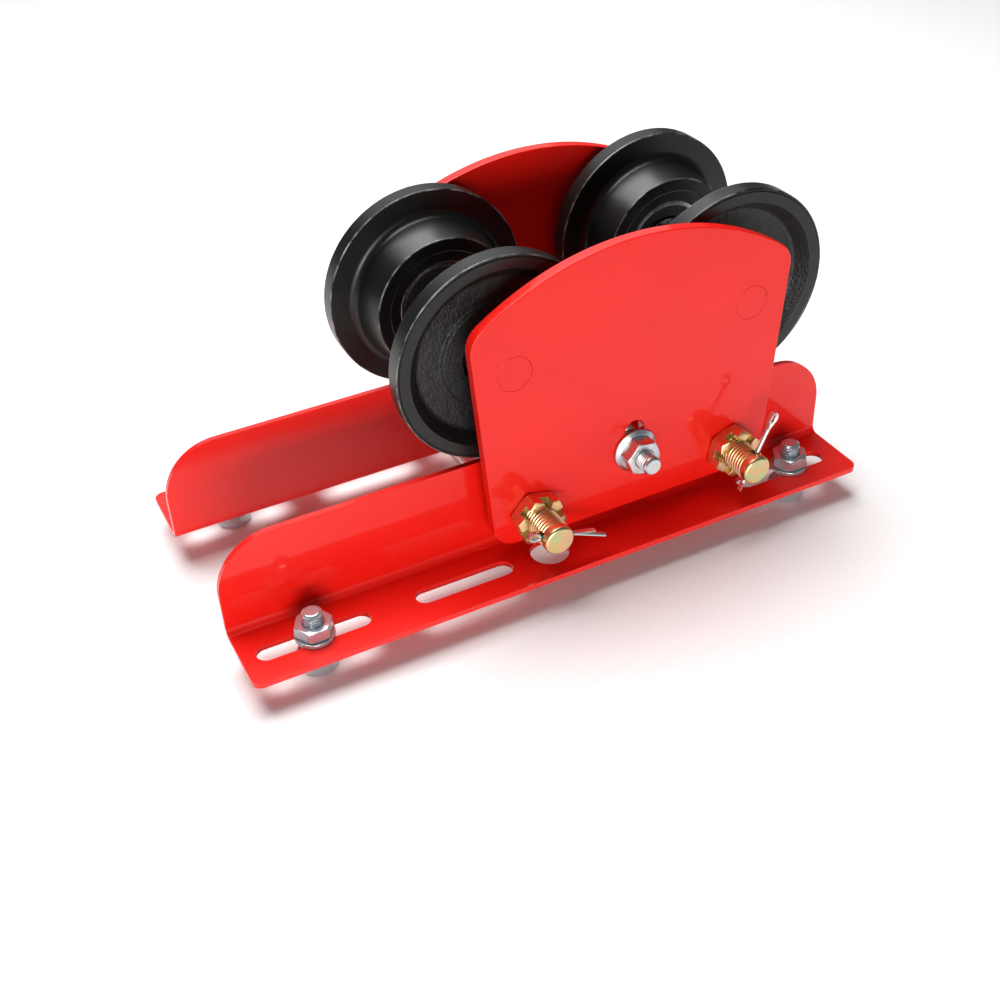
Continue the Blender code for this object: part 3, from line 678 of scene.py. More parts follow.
class TrolleyBracketSettings(bpy.types.PropertyGroup):
    sheet: length("Sheet", "Thickness of the brackets' sheet steel", 3 * MM)
    bend_radius: length("Bend radius", "Inside radius of the bend", 4 * MM)
    leg_corner: length("Leg corner", "Rounding of the upright leg's upper corners", 30 * MM)
    flange_corner: length("Flange corner", "Rounding of the flange's free corners", 5 * MM)
    slot_width: length("Slot width", "Width of the long slots", 11 * MM)
    round_hole: length("Round hole", "Radius of the hole between the slots", 10 * MM)
    edge_rounding: length("Edge rounding", "Rounding of the painted edges", 0.5 * MM)


class TrolleyWheelSettings(bpy.types.PropertyGroup):
    flange_thickness: length("Flange thickness", "Thickness of the wheel's flange at its rim",
                             9.1 * MM)
    root_radius: length("Tread root", "Radius of the tread beside the flange", 40 * MM)
    end_radius: length("Tread end", "Radius of the tread at its inboard end", 36 * MM)
    root_fillet: length("Root fillet", "Fillet between the tread and the flange", 4.5 * MM)
    rim_band: length("Rim band", "Width of the flat machined ring on the outer face", 7 * MM)
    recess_depth: length("Recess depth", "Depth of the dished outer face", 6.8 * MM)
    sand_height: length("Sand height", "Height of the lumps on the rough cast floor", 0.25 * MM)
    facets: IntProperty(
        name="Facets", description="Number of facets round a wheel", min=24, default=160)


class TrolleyBoltSettings(bpy.types.PropertyGroup):
    load_radius: length("Load bolt", "Radius of the two load bolts", 8 * MM)
    small_radius: length("Small bolt", "Radius of the centre bolt and the hoist bolts", 5 * MM)
    rivet_radius: length("Rivet", "Radius of the studs' riveted ends", 9 * MM)
    load_pitch: length("M16 pitch", "Thread pitch of the load bolts", 2.0 * MM)
    small_pitch: length("M10 pitch", "Thread pitch of the M10 bolts", 1.5 * MM)
    load_hex: length("Load hexagon", "Width across flats of the castle nuts and bolt heads",
                     24 * MM)
    castle_slot: length("Castle slot", "Width of the slots in the castle nuts", 5 * MM)
    castle_depth: length("Castle slot depth", "Depth of the slots in the castle nuts", 5.4 * MM)
    cotter_hole: length("Cotter hole", "Radius of the cross hole for the cotter pin", 2.7 * MM)
    hoist_hex: length("Hoist hexagon", "Width across flats of the hoist bolts and nuts", 17 * MM)
    centre_hex: length("Centre hexagon", "Width across flats of the centre bolt and nut", 17 * MM)
    wire: length("Cotter wire", "Radius of the half-round wire of a cotter pin", 1.35 * MM)
    eye: length("Cotter eye", "Radius of the eye's centre line", 3.2 * MM)


class TrolleyStageSettings(bpy.types.PropertyGroup):
    floor_size: length("Floor size", "Side of the square floor", 6.0)
    front_power: FloatProperty(
        name="Front light", description="Power of the low soft light in front", unit="POWER",
        default=16.5)
    top_power: FloatProperty(
        name="Top light", description="Power of the soft light overhead", unit="POWER",
        default=30.0)
    back_power: FloatProperty(
        name="Back card", description="Power of the pale card behind", unit="POWER",
        default=3.5)
    room_light: FloatProperty(
        name="Room light", description="Strength of the even light from all round",
        min=0, default=0.10)


# ---------------------------------------------------------------- side plates
def plate_outline(settings):
    """From the crown's top down one side and up the other, about the plate's own box."""
    low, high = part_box("side_plate_front")
    centre_x = (low.x + high.x) / 2
    crown_z = high.z - settings.crown_radius
    shoulder_x = half_width("side_plate_front") - settings.shoulder_radius
    reach = settings.crown_radius - settings.shoulder_radius
    rise = math.sqrt(reach ** 2 - shoulder_x ** 2)
    shoulder_z = crown_z + rise
    meeting = math.degrees(math.atan2(rise, shoulder_x))
    foot_z = low.z + settings.foot_radius
    lean = math.degrees(settings.taper)
    foot_x = (shoulder_x - (shoulder_z - foot_z) * math.tan(settings.taper)
              + (settings.shoulder_radius - settings.foot_radius) / math.cos(settings.taper))
    half = (arc((0, crown_z), settings.crown_radius, 90, meeting, 40)
            + arc((shoulder_x, shoulder_z), settings.shoulder_radius, meeting, -lean, 14)[1:]
            + arc((foot_x, foot_z), settings.foot_radius, -lean, -90, 14))
    outline = half + [(-x, z) for x, z in reversed(half[1:])]
    return [(centre_x + x, z) for x, z in outline]


def upright_cutter(radius, x, z, low, high, rise=0.0, steps=48):
    """A round cutter about (x, z), or one for a slot that goes up by rise from there."""
    if not rise:
        return slab(ring((x, z), radius, steps), low, high)
    return slab(arc((x, z), radius, -180, 0, steps // 2)
                + arc((x, z + rise), radius, 0, 180, steps // 2), low, high)


class TROLLEY_OT_plates(bpy.types.Operator):
    """Builds the two painted side plates with their holes and the slot for the centre bolt"""

    bl_idname = "trolley.plates"
    bl_label = "Side plates"

    def execute(self, context):
        settings = context.scene.trolley_plates
        bolts = context.scene.trolley_bolts
        small = bolts.small_radius + settings.hole_play
        load = bolts.load_radius + settings.hole_play
        rivet = bolts.rivet_radius + RIVET_GAP
        slot = settings.slot_length - 2 * small
        for side, sign in SIDES.items():
            node = f"side_plate_{side}"
            near, far = out_range(node, sign)
            middle = box_centre(node).x
            past = (near - MM, far + MM)
            slot_z = box_centre("centre_bolt").z
            steps = [("DIFFERENCE", upright_cutter(small, 0, slot_z, *past, slot))]
            rivets = []
            for end in ENDS:
                bolt = box_centre(f"castle_nut_{end}")
                stud = box_centre(f"wheel_stud_{side}_{end}")
                across = -sign * (bolt.x - middle)
                steps.append(("DIFFERENCE", upright_cutter(load, across, bolt.z, *past)))
                across = -sign * (stud.x - middle)
                rivets.append(("DIFFERENCE",
                               upright_cutter(rivet, across, stud.z, *past, steps=80)))
            steps.append(("BEVEL", settings.edge_rounding))
            outline = [(x - middle, z) for x, z in plate_outline(settings)]
            shape = carved(slab(outline, near, far), *steps, *rivets)
            piece(f"painted_plate_{side}", shape, "trolley_frame", node, "enamel",
                  side_frame(sign, middle, 0))
        return {"FINISHED"}


# ---------------------------------------------------------------- angle brackets
ALONG_X = Matrix(((0, 0, 1, 0), (1, 0, 0, 0), (0, 1, 0, 0), (0, 0, 0, 1)))
ALONG_MINUS_Y = Matrix.Rotation(math.pi / 2, 4, "X")


def pushed(outline, low, high, turn):
    """A slab that is then turned to lie along another axis."""
    shape = slab(outline, low, high)
    shape.transform(turn)
    return shape


def bracket_section(settings, inner, edge, bottom, top):
    """The bent sheet's section, (out, up), past both of its free edges."""
    sheet = settings.sheet
    outer_bend = settings.bend_radius + sheet
    centre = (inner + outer_bend, bottom + outer_bend)
    return ([(inner, top + sheet)]
            + arc(centre, outer_bend, 180, 270, 14)
            + [(edge + sheet, bottom), (edge + sheet, bottom + sheet)]
            + arc(centre, settings.bend_radius, 270, 180, 14)
            + [(inner + sheet, top + sheet)])


def rounded_sheet(left, right, bottom, top, radius, steps):
    """A rectangle with its two upper corners rounded."""
    return ([(left, bottom), (right, bottom)]
            + arc((right - radius, top - radius), radius, 0, 90, steps)
            + arc((left + radius, top - radius), radius, 90, 180, steps))


def bracket_shape(context):
    """The rear bracket with its origin in the beam's middle plane; the front one mirrors it."""
    settings = context.scene.trolley_brackets
    bolts = context.scene.trolley_bolts
    low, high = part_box("angle_bracket_rear")
    inner, edge = out_range("angle_bracket_rear", 1)
    sheet = settings.sheet
    spare = sheet
    leg = rounded_sheet(low.x, high.x, low.z - spare, high.z, settings.leg_corner, 24)
    flange = rounded_sheet(low.x, high.x, inner - spare, edge, settings.flange_corner, 10)
    through_flange = (low.z - spare, low.z + sheet + spare)
    steps = [
        ("INTERSECT", pushed(leg, -edge - 2 * spare, -inner + 2 * spare, ALONG_MINUS_Y)),
        ("INTERSECT", slab(flange, low.z - spare, high.z + spare)),
    ]
    line = edge - SLOT_INSET
    radius = settings.slot_width / 2
    for start, end in SLOTS_FROM_LEFT:
        first = low.x + start + radius
        last = low.x + end - radius
        outline = arc((last, line), radius, -90, 90, 20) + arc((first, line), radius, 90, 270, 20)
        steps.append(("DIFFERENCE", slab(outline, *through_flange)))
    hole = ring((low.x + ROUND_HOLE_FROM_LEFT, line), settings.round_hole, 64)
    steps.append(("DIFFERENCE", slab(hole, *through_flange)))
    play = context.scene.trolley_plates.hole_play
    holes = [(box_centre(f"castle_nut_{end}"), bolts.load_radius + play) for end in ENDS]
    holes.append((box_centre("centre_bolt"), bolts.small_radius + play))
    for centre, radius in holes:
        steps.append(("DIFFERENCE", pushed(ring((centre.x, centre.z), radius, 48),
                                           -inner - sheet - MM, -inner + MM, ALONG_MINUS_Y)))
    section = bracket_section(settings, inner, edge, low.z, high.z)
    return carved(pushed(section, low.x - spare, high.x + spare, ALONG_X), *steps)


class TROLLEY_OT_brackets(bpy.types.Operator):
    """Builds the two painted angle brackets, bent from sheet, with their slots and holes"""

    bl_idname = "trolley.brackets"
    bl_label = "Angle brackets"

    def execute(self, context):
        for side, sign in SIDES.items():
            place = Matrix.Translation((0, middle_plane(), 0)) @ Matrix.Diagonal((1, sign, 1, 1))
            piece(f"painted_bracket_{side}", bracket_shape(context), "trolley_frame",
                  f"angle_bracket_{side}", "enamel", place,
                  bevel=context.scene.trolley_brackets.edge_rounding)
        return {"FINISHED"}


# ---------------------------------------------------------------- wheels
SAND_LUMP = 2.6 * MM              # between the lumps of the cast floor


def wheel_profile(settings, radius, inboard, outboard, seat, seat_end):
    """Corners as (radius, out, rounding), from the boss over the recess floor, the rim and the
    tread to the bearing's seat."""
    floor = outboard - settings.recess_depth
    rim = radius - settings.rim_band
    tread_start = outboard - settings.flange_thickness
    bore = seat - 7 * MM
    boss = seat + 3 * MM
    boss_height = 1.6 * MM
    groove = radius - 1.3 * MM
    groove_size = 0.4 * MM
    floor_end = rim - 5.5 * MM
    rings = 7
    floor_rings = [(boss + 2 * MM + (floor_end - boss - 4 * MM) * step / rings, floor, 0)
                   for step in range(1, rings)]
    ledge = seat + 6 * MM
    return [
        (bore, floor + boss_height, 0.6 * MM),
        (boss, floor + boss_height, 0.8 * MM),
        (boss + 1.5 * MM, floor, 0.8 * MM),
        *floor_rings,
        (floor_end, floor, 3 * MM),
        (rim, outboard, 0.5 * MM),
        (groove - groove_size, outboard, 0.12 * MM),
        (groove - groove_size / 2, outboard - groove_size, 0.08 * MM),
        (groove + groove_size / 2, outboard - 0.1 * MM, 0.12 * MM),
        (radius, outboard - 0.1 * MM, 0.7 * MM),
        (radius, tread_start, 0.6 * MM),
        (settings.root_radius, tread_start - 0.8 * MM, settings.root_fillet),
        (settings.end_radius, inboard, 0.7 * MM),
        (ledge, inboard, 0.4 * MM),
        (ledge - 0.8 * MM, inboard + 0.6 * MM, 0.3 * MM),
        (seat, inboard + 0.6 * MM, 0.6 * MM),
        (seat, seat_end, 0.3 * MM),
        (bore, seat_end, 0.4 * MM),
    ]


def cast_wheel(settings, corner):
    """A wheel about its own axis, with lumps of the moulding sand on the dished face, and the
    function that picks the finish of its faces."""
    side = side_of(corner)
    bearing = f"bearing_outer_ring_{corner}"
    radius = half_height(f"wheel_{corner}")
    inboard, outboard = out_range(f"wheel_{corner}", side)
    seat = half_height(bearing) + FIT_GAP
    seat_end = out_range(bearing, side)[1] + FIT_GAP
    profile = wheel_profile(settings, radius, inboard, outboard, seat, seat_end)
    shape = turned(softened(profile, steps=5), settings.facets)
    recess_low = outboard - settings.recess_depth - 0.5 * MM
    recess_start = seat - 6.5 * MM
    recess_end = radius - settings.rim_band - 0.8 * MM

    def in_recess(point):
        across = math.hypot(point.x, point.y)
        return point.z > recess_low and recess_start < across < recess_end

    for vert in shape.verts:
        if in_recess(vert.co):
            vert.co.z += settings.sand_height * noise.noise(vert.co / SAND_LUMP)

    def finish_of(point):
        """1 for the rough floor, 2 within about 0.6 mm of an edge that gets the painted highlight,
        or 0.
        """
        if in_recess(point):
            return 1
        across = math.hypot(point.x, point.y)
        on_band = across > radius - 0.55 * MM
        near_edge = (abs(point.z - outboard) < 0.65 * MM
                     or abs(point.z - outboard + settings.flange_thickness) < 0.6 * MM)
        on_end = abs(point.z - inboard) < 0.55 * MM and across > settings.end_radius - 0.6 * MM
        # faces marked 2 are painted lighter grey as a highlight on the edge
        return 2 if (on_band and near_edge) or on_end else 0

    return shape, finish_of


class TROLLEY_OT_wheels(bpy.types.Operator):
    """Builds the four black cast wheels, each with one flange and a tapered tread"""

    bl_idname = "trolley.wheels"
    bl_label = "Wheels"

    def execute(self, context):
        for corner in CORNERS:
            shape, finish_of = cast_wheel(context.scene.trolley_wheels, corner)
            piece(f"cast_wheel_{corner}", shape, f"wheel_{corner}_body", f"wheel_{corner}",
                  # the third finish is the painted highlight on the edges
                  ["machined_iron", "sand_iron", "iron_edge_highlight"],
                  axis_frame(side_of(corner), f"wheel_{corner}"), pick=finish_of)
        return {"FINISHED"}


# ---------------------------------------------------------------- bearings, studs and circlips
def bearing_rings(corner):
    """The outer ring with its two pressed shields and the inner ring, about their axis, and the
    function that picks the finish of the outer ring's faces."""
    node = f"bearing_outer_ring_{corner}"
    outside = half_height(node)
    near, far = out_range(node, side_of(corner))
    race = half_height(f"bearing_inner_ring_{corner}")
    land = outside - 2.6 * MM
    lip = race + 0.9 * MM
    sink = 0.35 * MM
    plate = 0.5 * MM
    crease = (land + lip) / 2
    shield = [                    # radius, depth from the ring's face, rounding
        (land, 0, 0.25 * MM),
        (land - 0.3 * MM, sink, 0),
        (crease + 1.2 * MM, sink, 0.2 * MM),
        (crease + 0.8 * MM, 2 * sink, 0.2 * MM),
        (lip, 2 * sink, 0.15 * MM),
        (lip, 2 * sink + plate, 0),
        (land, 2 * sink + plate, 0.2 * MM),
    ]
    profile = [(outside, far, 0.8 * MM), (outside, near, 0.8 * MM)]
    profile += [(radius, near + depth, rounding) for radius, depth, rounding in shield]
    profile += [(radius, far - depth, rounding) for radius, depth, rounding in reversed(shield)]
    inner_ring = washer(race - RACE, race, near, far, 0.6 * MM)

    def finish_of(point):
        """1 for the shields and 0 for the ground steel round them."""
        across = math.hypot(point.x, point.y)
        return 1 if lip - 0.1 * MM < across < land - 0.1 * MM else 0

    return turned(softened(profile, steps=3)), inner_ring, finish_of


class TROLLEY_OT_bearings(bpy.types.Operator):
    """Builds the shielded ball bearings in the wheels"""

    bl_idname = "trolley.bearings"
    bl_label = "Bearings"

    def execute(self, context):
        for corner in CORNERS:
            outer, inner, finish_of = bearing_rings(corner)
            place = axis_frame(side_of(corner), f"bearing_outer_ring_{corner}")
            piece(f"shielded_ring_{corner}", outer, f"wheel_{corner}_body",
                  f"bearing_outer_ring_{corner}", ["bearing_steel", "seal"], place,
                  pick=finish_of)
            piece(f"ground_inner_ring_{corner}", inner, "trolley_frame",
                  f"bearing_inner_ring_{corner}", "bearing_steel", place)
        return {"FINISHED"}


class TROLLEY_OT_studs(bpy.types.Operator):
    """Builds the wheel studs, riveted flush into the plates and painted over with them"""

    bl_idname = "trolley.studs"
    bl_label = "Wheel studs"

    def execute(self, context):
        rivet = context.scene.trolley_bolts.rivet_radius
        for corner in CORNERS:
            side = side_of(corner)
            node = f"wheel_stud_{corner}"
            near, far = out_range(node, side)
            plate_near, plate_far = out_range(f"side_plate_{corner.split('_')[0]}", side)
            clip_near, clip_far = out_range(f"circlip_{corner}", side)
            collar_near = out_range(f"bearing_inner_ring_{corner}", side)[1] + FIT_GAP
            collar_far = plate_near - FIT_GAP
            collar = half_height(node)
            journal = half_height(f"bearing_inner_ring_{corner}") - RACE - FIT_GAP
            neck = journal - CIRCLIP_GROOVE
            profile = [
                (0, far, 0),
                (rivet, far, 0.25 * MM),
                (rivet, collar_far, 0),
                (collar, collar_far, 0.8 * MM),
                (collar, collar_near, 0.6 * MM),
                (journal, collar_near, 0.4 * MM),
                (journal, clip_far + FIT_GAP, 0.1 * MM),
                (neck, clip_far + FIT_GAP, 0.1 * MM),
                (neck, clip_near - FIT_GAP, 0.1 * MM),
                (journal, clip_near - FIT_GAP, 0.1 * MM),
                (journal, near, 1.0 * MM),
                (CENTRE_DRILL, near, 0.2 * MM),
                (0, near + CENTRE_DRILL, 0),
            ]
            shape = turned(softened(profile, closed=False), 80)
            painted = plate_far - PAINTED_END
            piece(f"riveted_stud_{corner}", shape, "trolley_frame", node, ["blue_zinc", "enamel"],
                  axis_frame(side, node),
                  pick=lambda point, level=painted: 1 if point.z > level else 0)
        return {"FINISHED"}


def circlip_outline(inner, outer, mouth):
    """A snap ring that is widest opposite its mouth, with a lug at each end of the mouth, and
    the centres of the holes in its lugs."""
    half_mouth = math.degrees(mouth / 2 / inner)
    shift = 0.5 * MM
    hole_line = (inner + outer) / 2
    lug = 2.1 * MM
    lug_angle = half_mouth + math.degrees(lug / hole_line)
    lug_blend = 14                # degrees from a lug to the ring's own outside
    outside_start = lug_angle + lug_blend
    inside = arc((0, 0), inner, 90 + half_mouth, 450 - half_mouth, 60)
    outside = arc((0, -shift), outer - shift, 450 - outside_start, 90 + outside_start, 56)
    ends = arc((0, 0), hole_line, 90 - lug_angle, 90 + lug_angle, 1)
    right = arc(ends[0], lug, 90 - lug_angle + 100, 90 - lug_angle - 80, 12)
    left = arc(ends[1], lug, 90 + lug_angle + 80, 90 + lug_angle - 100, 12)
    return inside + right + outside + left, ends


class TROLLEY_OT_circlips(bpy.types.Operator):
    """Builds the snap rings that keep the bearings on their studs"""

    bl_idname = "trolley.circlips"
    bl_label = "Circlips"

    def execute(self, context):
        for corner in CORNERS:
            side = side_of(corner)
            node = f"circlip_{corner}"
            near, far = out_range(node, side)
            inner = half_height(f"bearing_inner_ring_{corner}") - RACE - CIRCLIP_GROOVE
            outline, holes = circlip_outline(inner, half_width(node), CIRCLIP_MOUTH)
            cuts = [("DIFFERENCE", slab(ring(hole, CIRCLIP_HOLE, 20), near - MM, far + MM))
                    for hole in holes]
            piece(f"snap_ring_{corner}", carved(slab(outline, near, far), *cuts), "trolley_frame",
                  node, "spring_steel", axis_frame(side, f"wheel_stud_{corner}"),
                  bevel=0.12 * MM)
        return {"FINISHED"}


# ---------------------------------------------------------------- load bolts
class TROLLEY_OT_load_bolts(bpy.types.Operator):
    """Builds the two load bolts, threaded at the front, with a cross hole for the cotter pin"""

    bl_idname = "trolley.load_bolts"
    bl_label = "Load bolts"

    def execute(self, context):
        settings = context.scene.trolley_bolts
        radius = settings.load_radius
        for end, turn in zip(ENDS, COTTER_TURNS):
            node = f"load_bolt_{end}"
            head_end, free_end = out_range(node, -1)
            head_start = -out_range(f"head_washer_{end}", 1)[1] - FIT_GAP
            nut_start = out_range(f"castle_nut_{end}", -1)[0]
            rounded_end = [(radius, free_end - 1.5 * MM),
                           (radius - 0.25 * MM, free_end - 0.8 * MM),
                           (radius - 0.8 * MM, free_end - 0.25 * MM),
                           (radius - 1.5 * MM, free_end)]
            rod = threaded_rod(radius, settings.load_pitch, nut_start - 8 * MM,
                               free_end - PLAIN_END, [(radius, head_start - HEAD_ROOT)],
                               rounded_end)
            head = bolt_head(settings.load_hex, head_end, head_start)
            hole = prism(32, settings.cotter_hole, -2 * radius, 2 * radius)
            hole.transform(Matrix.Translation((0, 0, free_end - COTTER_INSET))
                           @ Matrix.Rotation(turn, 4, "Z") @ Matrix.Rotation(math.pi / 2, 4, "Y"))
            shape = carved(rod, ("UNION", head), ("DIFFERENCE", hole))
            piece(f"plated_load_bolt_{end}", shape, "trolley_frame", node, "yellow_zinc",
                  axis_frame(-1, f"castle_nut_{end}"), smooth=THREAD_SMOOTH)
        return {"FINISHED"}


class TROLLEY_OT_castle_nuts(bpy.types.Operator):
    """Builds the slotted castle nuts on the load bolts"""

    bl_idname = "trolley.castle_nuts"
    bl_label = "Castle nuts"

    def execute(self, context):
        settings = context.scene.trolley_bolts
        flats = settings.load_hex
        half = settings.castle_slot / 2
        for end, turn in zip(ENDS, CASTLE_TURNS):
            node = f"castle_nut_{end}"
            near, far = out_range(node, -1)
            slot_low = (-flats, -half, far - settings.castle_depth)
            slot_high = (flats, half, far + MM)
            slots = [("DIFFERENCE", block(slot_low, slot_high, turn + math.radians(60 * step)))
                     for step in range(3)]
            nut = chamfered_hex(flats, near, far, settings.load_radius + NUT_PLAY, turn)
            piece(f"plated_castle_nut_{end}", carved(nut, *slots), "trolley_frame", node,
                  "yellow_zinc", axis_frame(-1, node), bevel=0.18 * MM)
        return {"FINISHED"}


def cotter_line(settings, reach, leg, splay):
    """Centre line of the wire's flat side: one leg, round the long eye, back along the other.
    Past the bolt the legs part by splay."""
    apart = 0.1 * MM              # from the pin's middle to each flat side
    eye_length = settings.eye
    eye_width = EYE_SHAPE * eye_length
    opening = 40                  # degrees from the pin's middle to where the eye starts
    eye = [(x, y * EYE_SHAPE)
           for x, y in arc((0, 0), eye_length, opening, 360 - opening, 28)]
    neck = min(2.1 * eye_length, eye_length + reach + MM)
    straight = reach + 2 * settings.load_radius + MM
    short_tip = leg - COTTER_SHORTER
    share = (short_tip - straight) / (leg - straight)
    upper = [(short_tip, apart + 0.15 * splay * share), (straight + 2 * MM, apart),
             (straight, apart), (straight / 2, apart), (neck, apart),
             (0.75 * neck, 0.28 * eye_width)]
    lower = [(0.75 * neck, -0.28 * eye_width), (neck, -apart), (straight / 2, -apart),
             (straight, -apart), (straight + 2 * MM, -apart - 0.1 * splay),
             (leg, -apart - splay)]
    return upper + eye + lower


def swept_half_round(name, points, radius):
    """A half-round wire along flat points, with its flat side on the right of the path."""
    section = bpy.data.curves.new("half_round", "CURVE")
    section.dimensions = "2D"
    line = section.splines.new("POLY")
    outline = [(0.12 * radius - x, y) for x, y in arc((0, 0), radius, -90, 90, 12)]
    line.points.add(len(outline) - 1)
    for point, (across, up) in zip(line.points, outline):
        point.co = (across, up, 0, 1)
    line.use_cyclic_u = True
    guide = bpy.data.objects.new("half_round", section)
    path = bpy.data.curves.new(name, "CURVE")
    path.dimensions = "2D"
    path.bevel_mode = "OBJECT"
    path.bevel_object = guide
    path.use_fill_caps = True
    path.resolution_u = 4
    spline = path.splines.new("NURBS")
    spline.points.add(len(points) - 1)
    for point, (along, up) in zip(spline.points, points):
        point.co = (along, up, 0, 1)
    spline.order_u = 3
    spline.use_endpoint_u = True
    made = bpy.data.objects.new(name, path)
    for thing in (guide, made):
        bpy.context.scene.collection.objects.link(thing)
    bpy.context.view_layer.update()
    shape = finished_shape(made)
    for thing in (guide, made):
        bpy.data.objects.remove(thing)
    return tidy(shape)


class TROLLEY_OT_cotter_pins(bpy.types.Operator):
    """Builds the split pins, folded from half-round wire, through the load bolts"""

    bl_idname = "trolley.cotter_pins"
    bl_label = "Cotter pins"

    def execute(self, context):
        settings = context.scene.trolley_bolts
        for end, turn, reach, leg, splay in zip(ENDS, COTTER_TURNS, EYE_REACHES, COTTER_LEGS,
                                                COTTER_SPLAYS):
            node = f"cotter_pin_{end}"
            level = out_range(f"load_bolt_{end}", -1)[1] - COTTER_INSET
            line = cotter_line(settings, reach, leg, splay)
            shape = swept_half_round(node, line, settings.wire)
            place = (axis_frame(-1, f"castle_nut_{end}") @ Matrix.Translation((0, 0, level))
                     @ Matrix.Rotation(turn, 4, "Z")
                     @ Matrix.Translation((-settings.load_radius - reach, 0, 0)))
            piece(f"split_pin_{end}", shape, "trolley_frame", node, "blue_zinc", place)
        return {"FINISHED"}


class TROLLEY_OT_spacers(bpy.types.Operator):
    """Builds the spacer tubes, the collars and the washers on the load bolts and centre bolt"""

    bl_idname = "trolley.spacers"
    bl_label = "Spacers"

    def execute(self, context):
        bolts = context.scene.trolley_bolts
        rings = []
        for end in ENDS:
            rings.append((f"spacer_tube_{end}", bolts.load_radius, "blue_zinc"))
            rings.append((f"head_washer_{end}", bolts.load_radius, "yellow_zinc"))
            for side in SIDES:
                rings.append((f"spacer_collar_{side}_{end}", bolts.load_radius, "blue_zinc"))
        rings.append(("centre_spacer_tube", bolts.small_radius, "blue_zinc"))
        for side in SIDES:
            rings.append((f"centre_spacer_collar_{side}", bolts.small_radius, "blue_zinc"))
        for node, radius, label in rings:
            near, far = out_range(node, 1)
            shape = washer(radius + FIT_GAP, half_width(node), near, far, 0.5 * MM)
            piece(f"plated_{node}", shape, "trolley_frame", node, label, axis_frame(1, node))
        return {"FINISHED"}


# ---------------------------------------------------------------- centre bolt and hoist bolts
def flanged_hex(flats, flange, low, high, bore=0.0, phase=0.0):
    """A hexagon on a round flange that slopes up to it."""
    slope = [(flange, low, 0.3 * MM), (flange, low + FLANGE_EDGE, 0.5 * MM),
             (hex_corner(flats), low + 2 * FLANGE_EDGE, 0.8 * MM)]
    if bore:
        profile = [(bore, low, 0.3 * MM), *slope, (bore, low + 2 * FLANGE_EDGE, 0)]
        base = turned(softened(profile)[::-1])
    else:
        profile = [(0, low, 0), *slope, (0, low + 2 * FLANGE_EDGE, 0)]
        base = turned(softened(profile, closed=False)[::-1])
    return carved(chamfered_hex(flats, low + 0.5 * MM, high, bore, phase, both=False),
                  ("UNION", base))


class TROLLEY_OT_centre_bolt(bpy.types.Operator):
    """Builds the centre bolt and its flange nut"""

    bl_idname = "trolley.centre_bolt"
    bl_label = "Centre bolt"

    def execute(self, context):
        settings = context.scene.trolley_bolts
        radius = settings.small_radius
        head_end, free_end = out_range("centre_bolt", -1)
        near, far = out_range("centre_nut", -1)
        flange = half_width("centre_bolt")
        place = axis_frame(-1, "centre_bolt")
        chamfer = [(radius - 0.2 * MM, free_end - 0.9 * MM), (radius - 0.9 * MM, free_end)]
        rod = threaded_rod(radius, settings.small_pitch, near - 10 * MM, free_end - 1.2 * MM,
                           [(radius, -near - HEAD_ROOT)], chamfer)
        head = flanged_hex(settings.centre_hex, flange, near, -head_end)
        head.transform(Matrix.Rotation(math.pi, 4, "X"))
        piece("plated_centre_bolt", carved(rod, ("UNION", head)), "trolley_frame", "centre_bolt",
              "blue_zinc", place, smooth=THREAD_SMOOTH)
        nut = flanged_hex(settings.centre_hex, flange, near, far, radius + NUT_PLAY, CENTRE_TURN)
        piece("plated_centre_nut", nut, "trolley_frame", "centre_nut", "blue_zinc", place,
              bevel=0.15 * MM)
        return {"FINISHED"}


class TROLLEY_OT_hoist_bolts(bpy.types.Operator):
    """Builds the four hoist bolts in the slots, each with its nut and two washers"""

    bl_idname = "trolley.hoist_bolts"
    bl_label = "Hoist bolts"

    def execute(self, context):
        settings = context.scene.trolley_bolts
        radius = settings.small_radius
        for corner in CORNERS:
            body = f"hoist_bolt_{corner}_body"
            low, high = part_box(f"hoist_bolt_{corner}")
            centre = box_centre(f"hoist_nut_{corner}")
            place = Matrix.Translation((centre.x, centre.y, 0))
            head_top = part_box(f"hoist_lower_washer_{corner}")[0].z - FIT_GAP
            top = high.z
            rounded_end = [(radius - 0.25 * MM, top - 0.9 * MM),
                           (radius - 1.0 * MM, top - 0.2 * MM), (radius - 1.6 * MM, top)]
            rod = threaded_rod(radius, settings.small_pitch, head_top + 1.5 * MM, top - 0.95 * MM,
                               [(radius, head_top - HEAD_ROOT)], rounded_end)
            head = bolt_head(settings.hoist_hex, low.z, head_top)
            piece(f"chromed_bolt_{corner}", carved(rod, ("UNION", head)), body,
                  f"hoist_bolt_{corner}", "chrome", place, smooth=THREAD_SMOOTH)
            low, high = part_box(f"hoist_nut_{corner}")
            nut = chamfered_hex(settings.hoist_hex, low.z, high.z, radius + NUT_PLAY,
                                HOIST_NUT_TURN)
            piece(f"chromed_nut_{corner}", nut, body, f"hoist_nut_{corner}", "chrome", place,
                  bevel=0.15 * MM)
            for level in ("lower", "upper"):
                node = f"hoist_{level}_washer_{corner}"
                low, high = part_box(node)
                shape = washer(radius + FIT_GAP, WASHER_RADIUS, low.z, high.z, 0.35 * MM)
                piece(f"chromed_{level}_washer_{corner}", shape, body, node, "chrome", place)
        return {"FINISHED"}


# ---------------------------------------------------------------- stage
def add_light(name, size, power, place, target):
    """A soft rectangle of white light that faces its target."""
    lamp = bpy.data.lights.new(name, "AREA")
    lamp.shape = "RECTANGLE"
    lamp.size, lamp.size_y = size
    lamp.energy = power
    made = bpy.data.objects.new(name, lamp)
    made.location = place
    aim = target - Vector(place)
    made.rotation_euler = aim.to_track_quat("-Z", "Y").to_euler()
    bpy.context.scene.collection.objects.link(made)


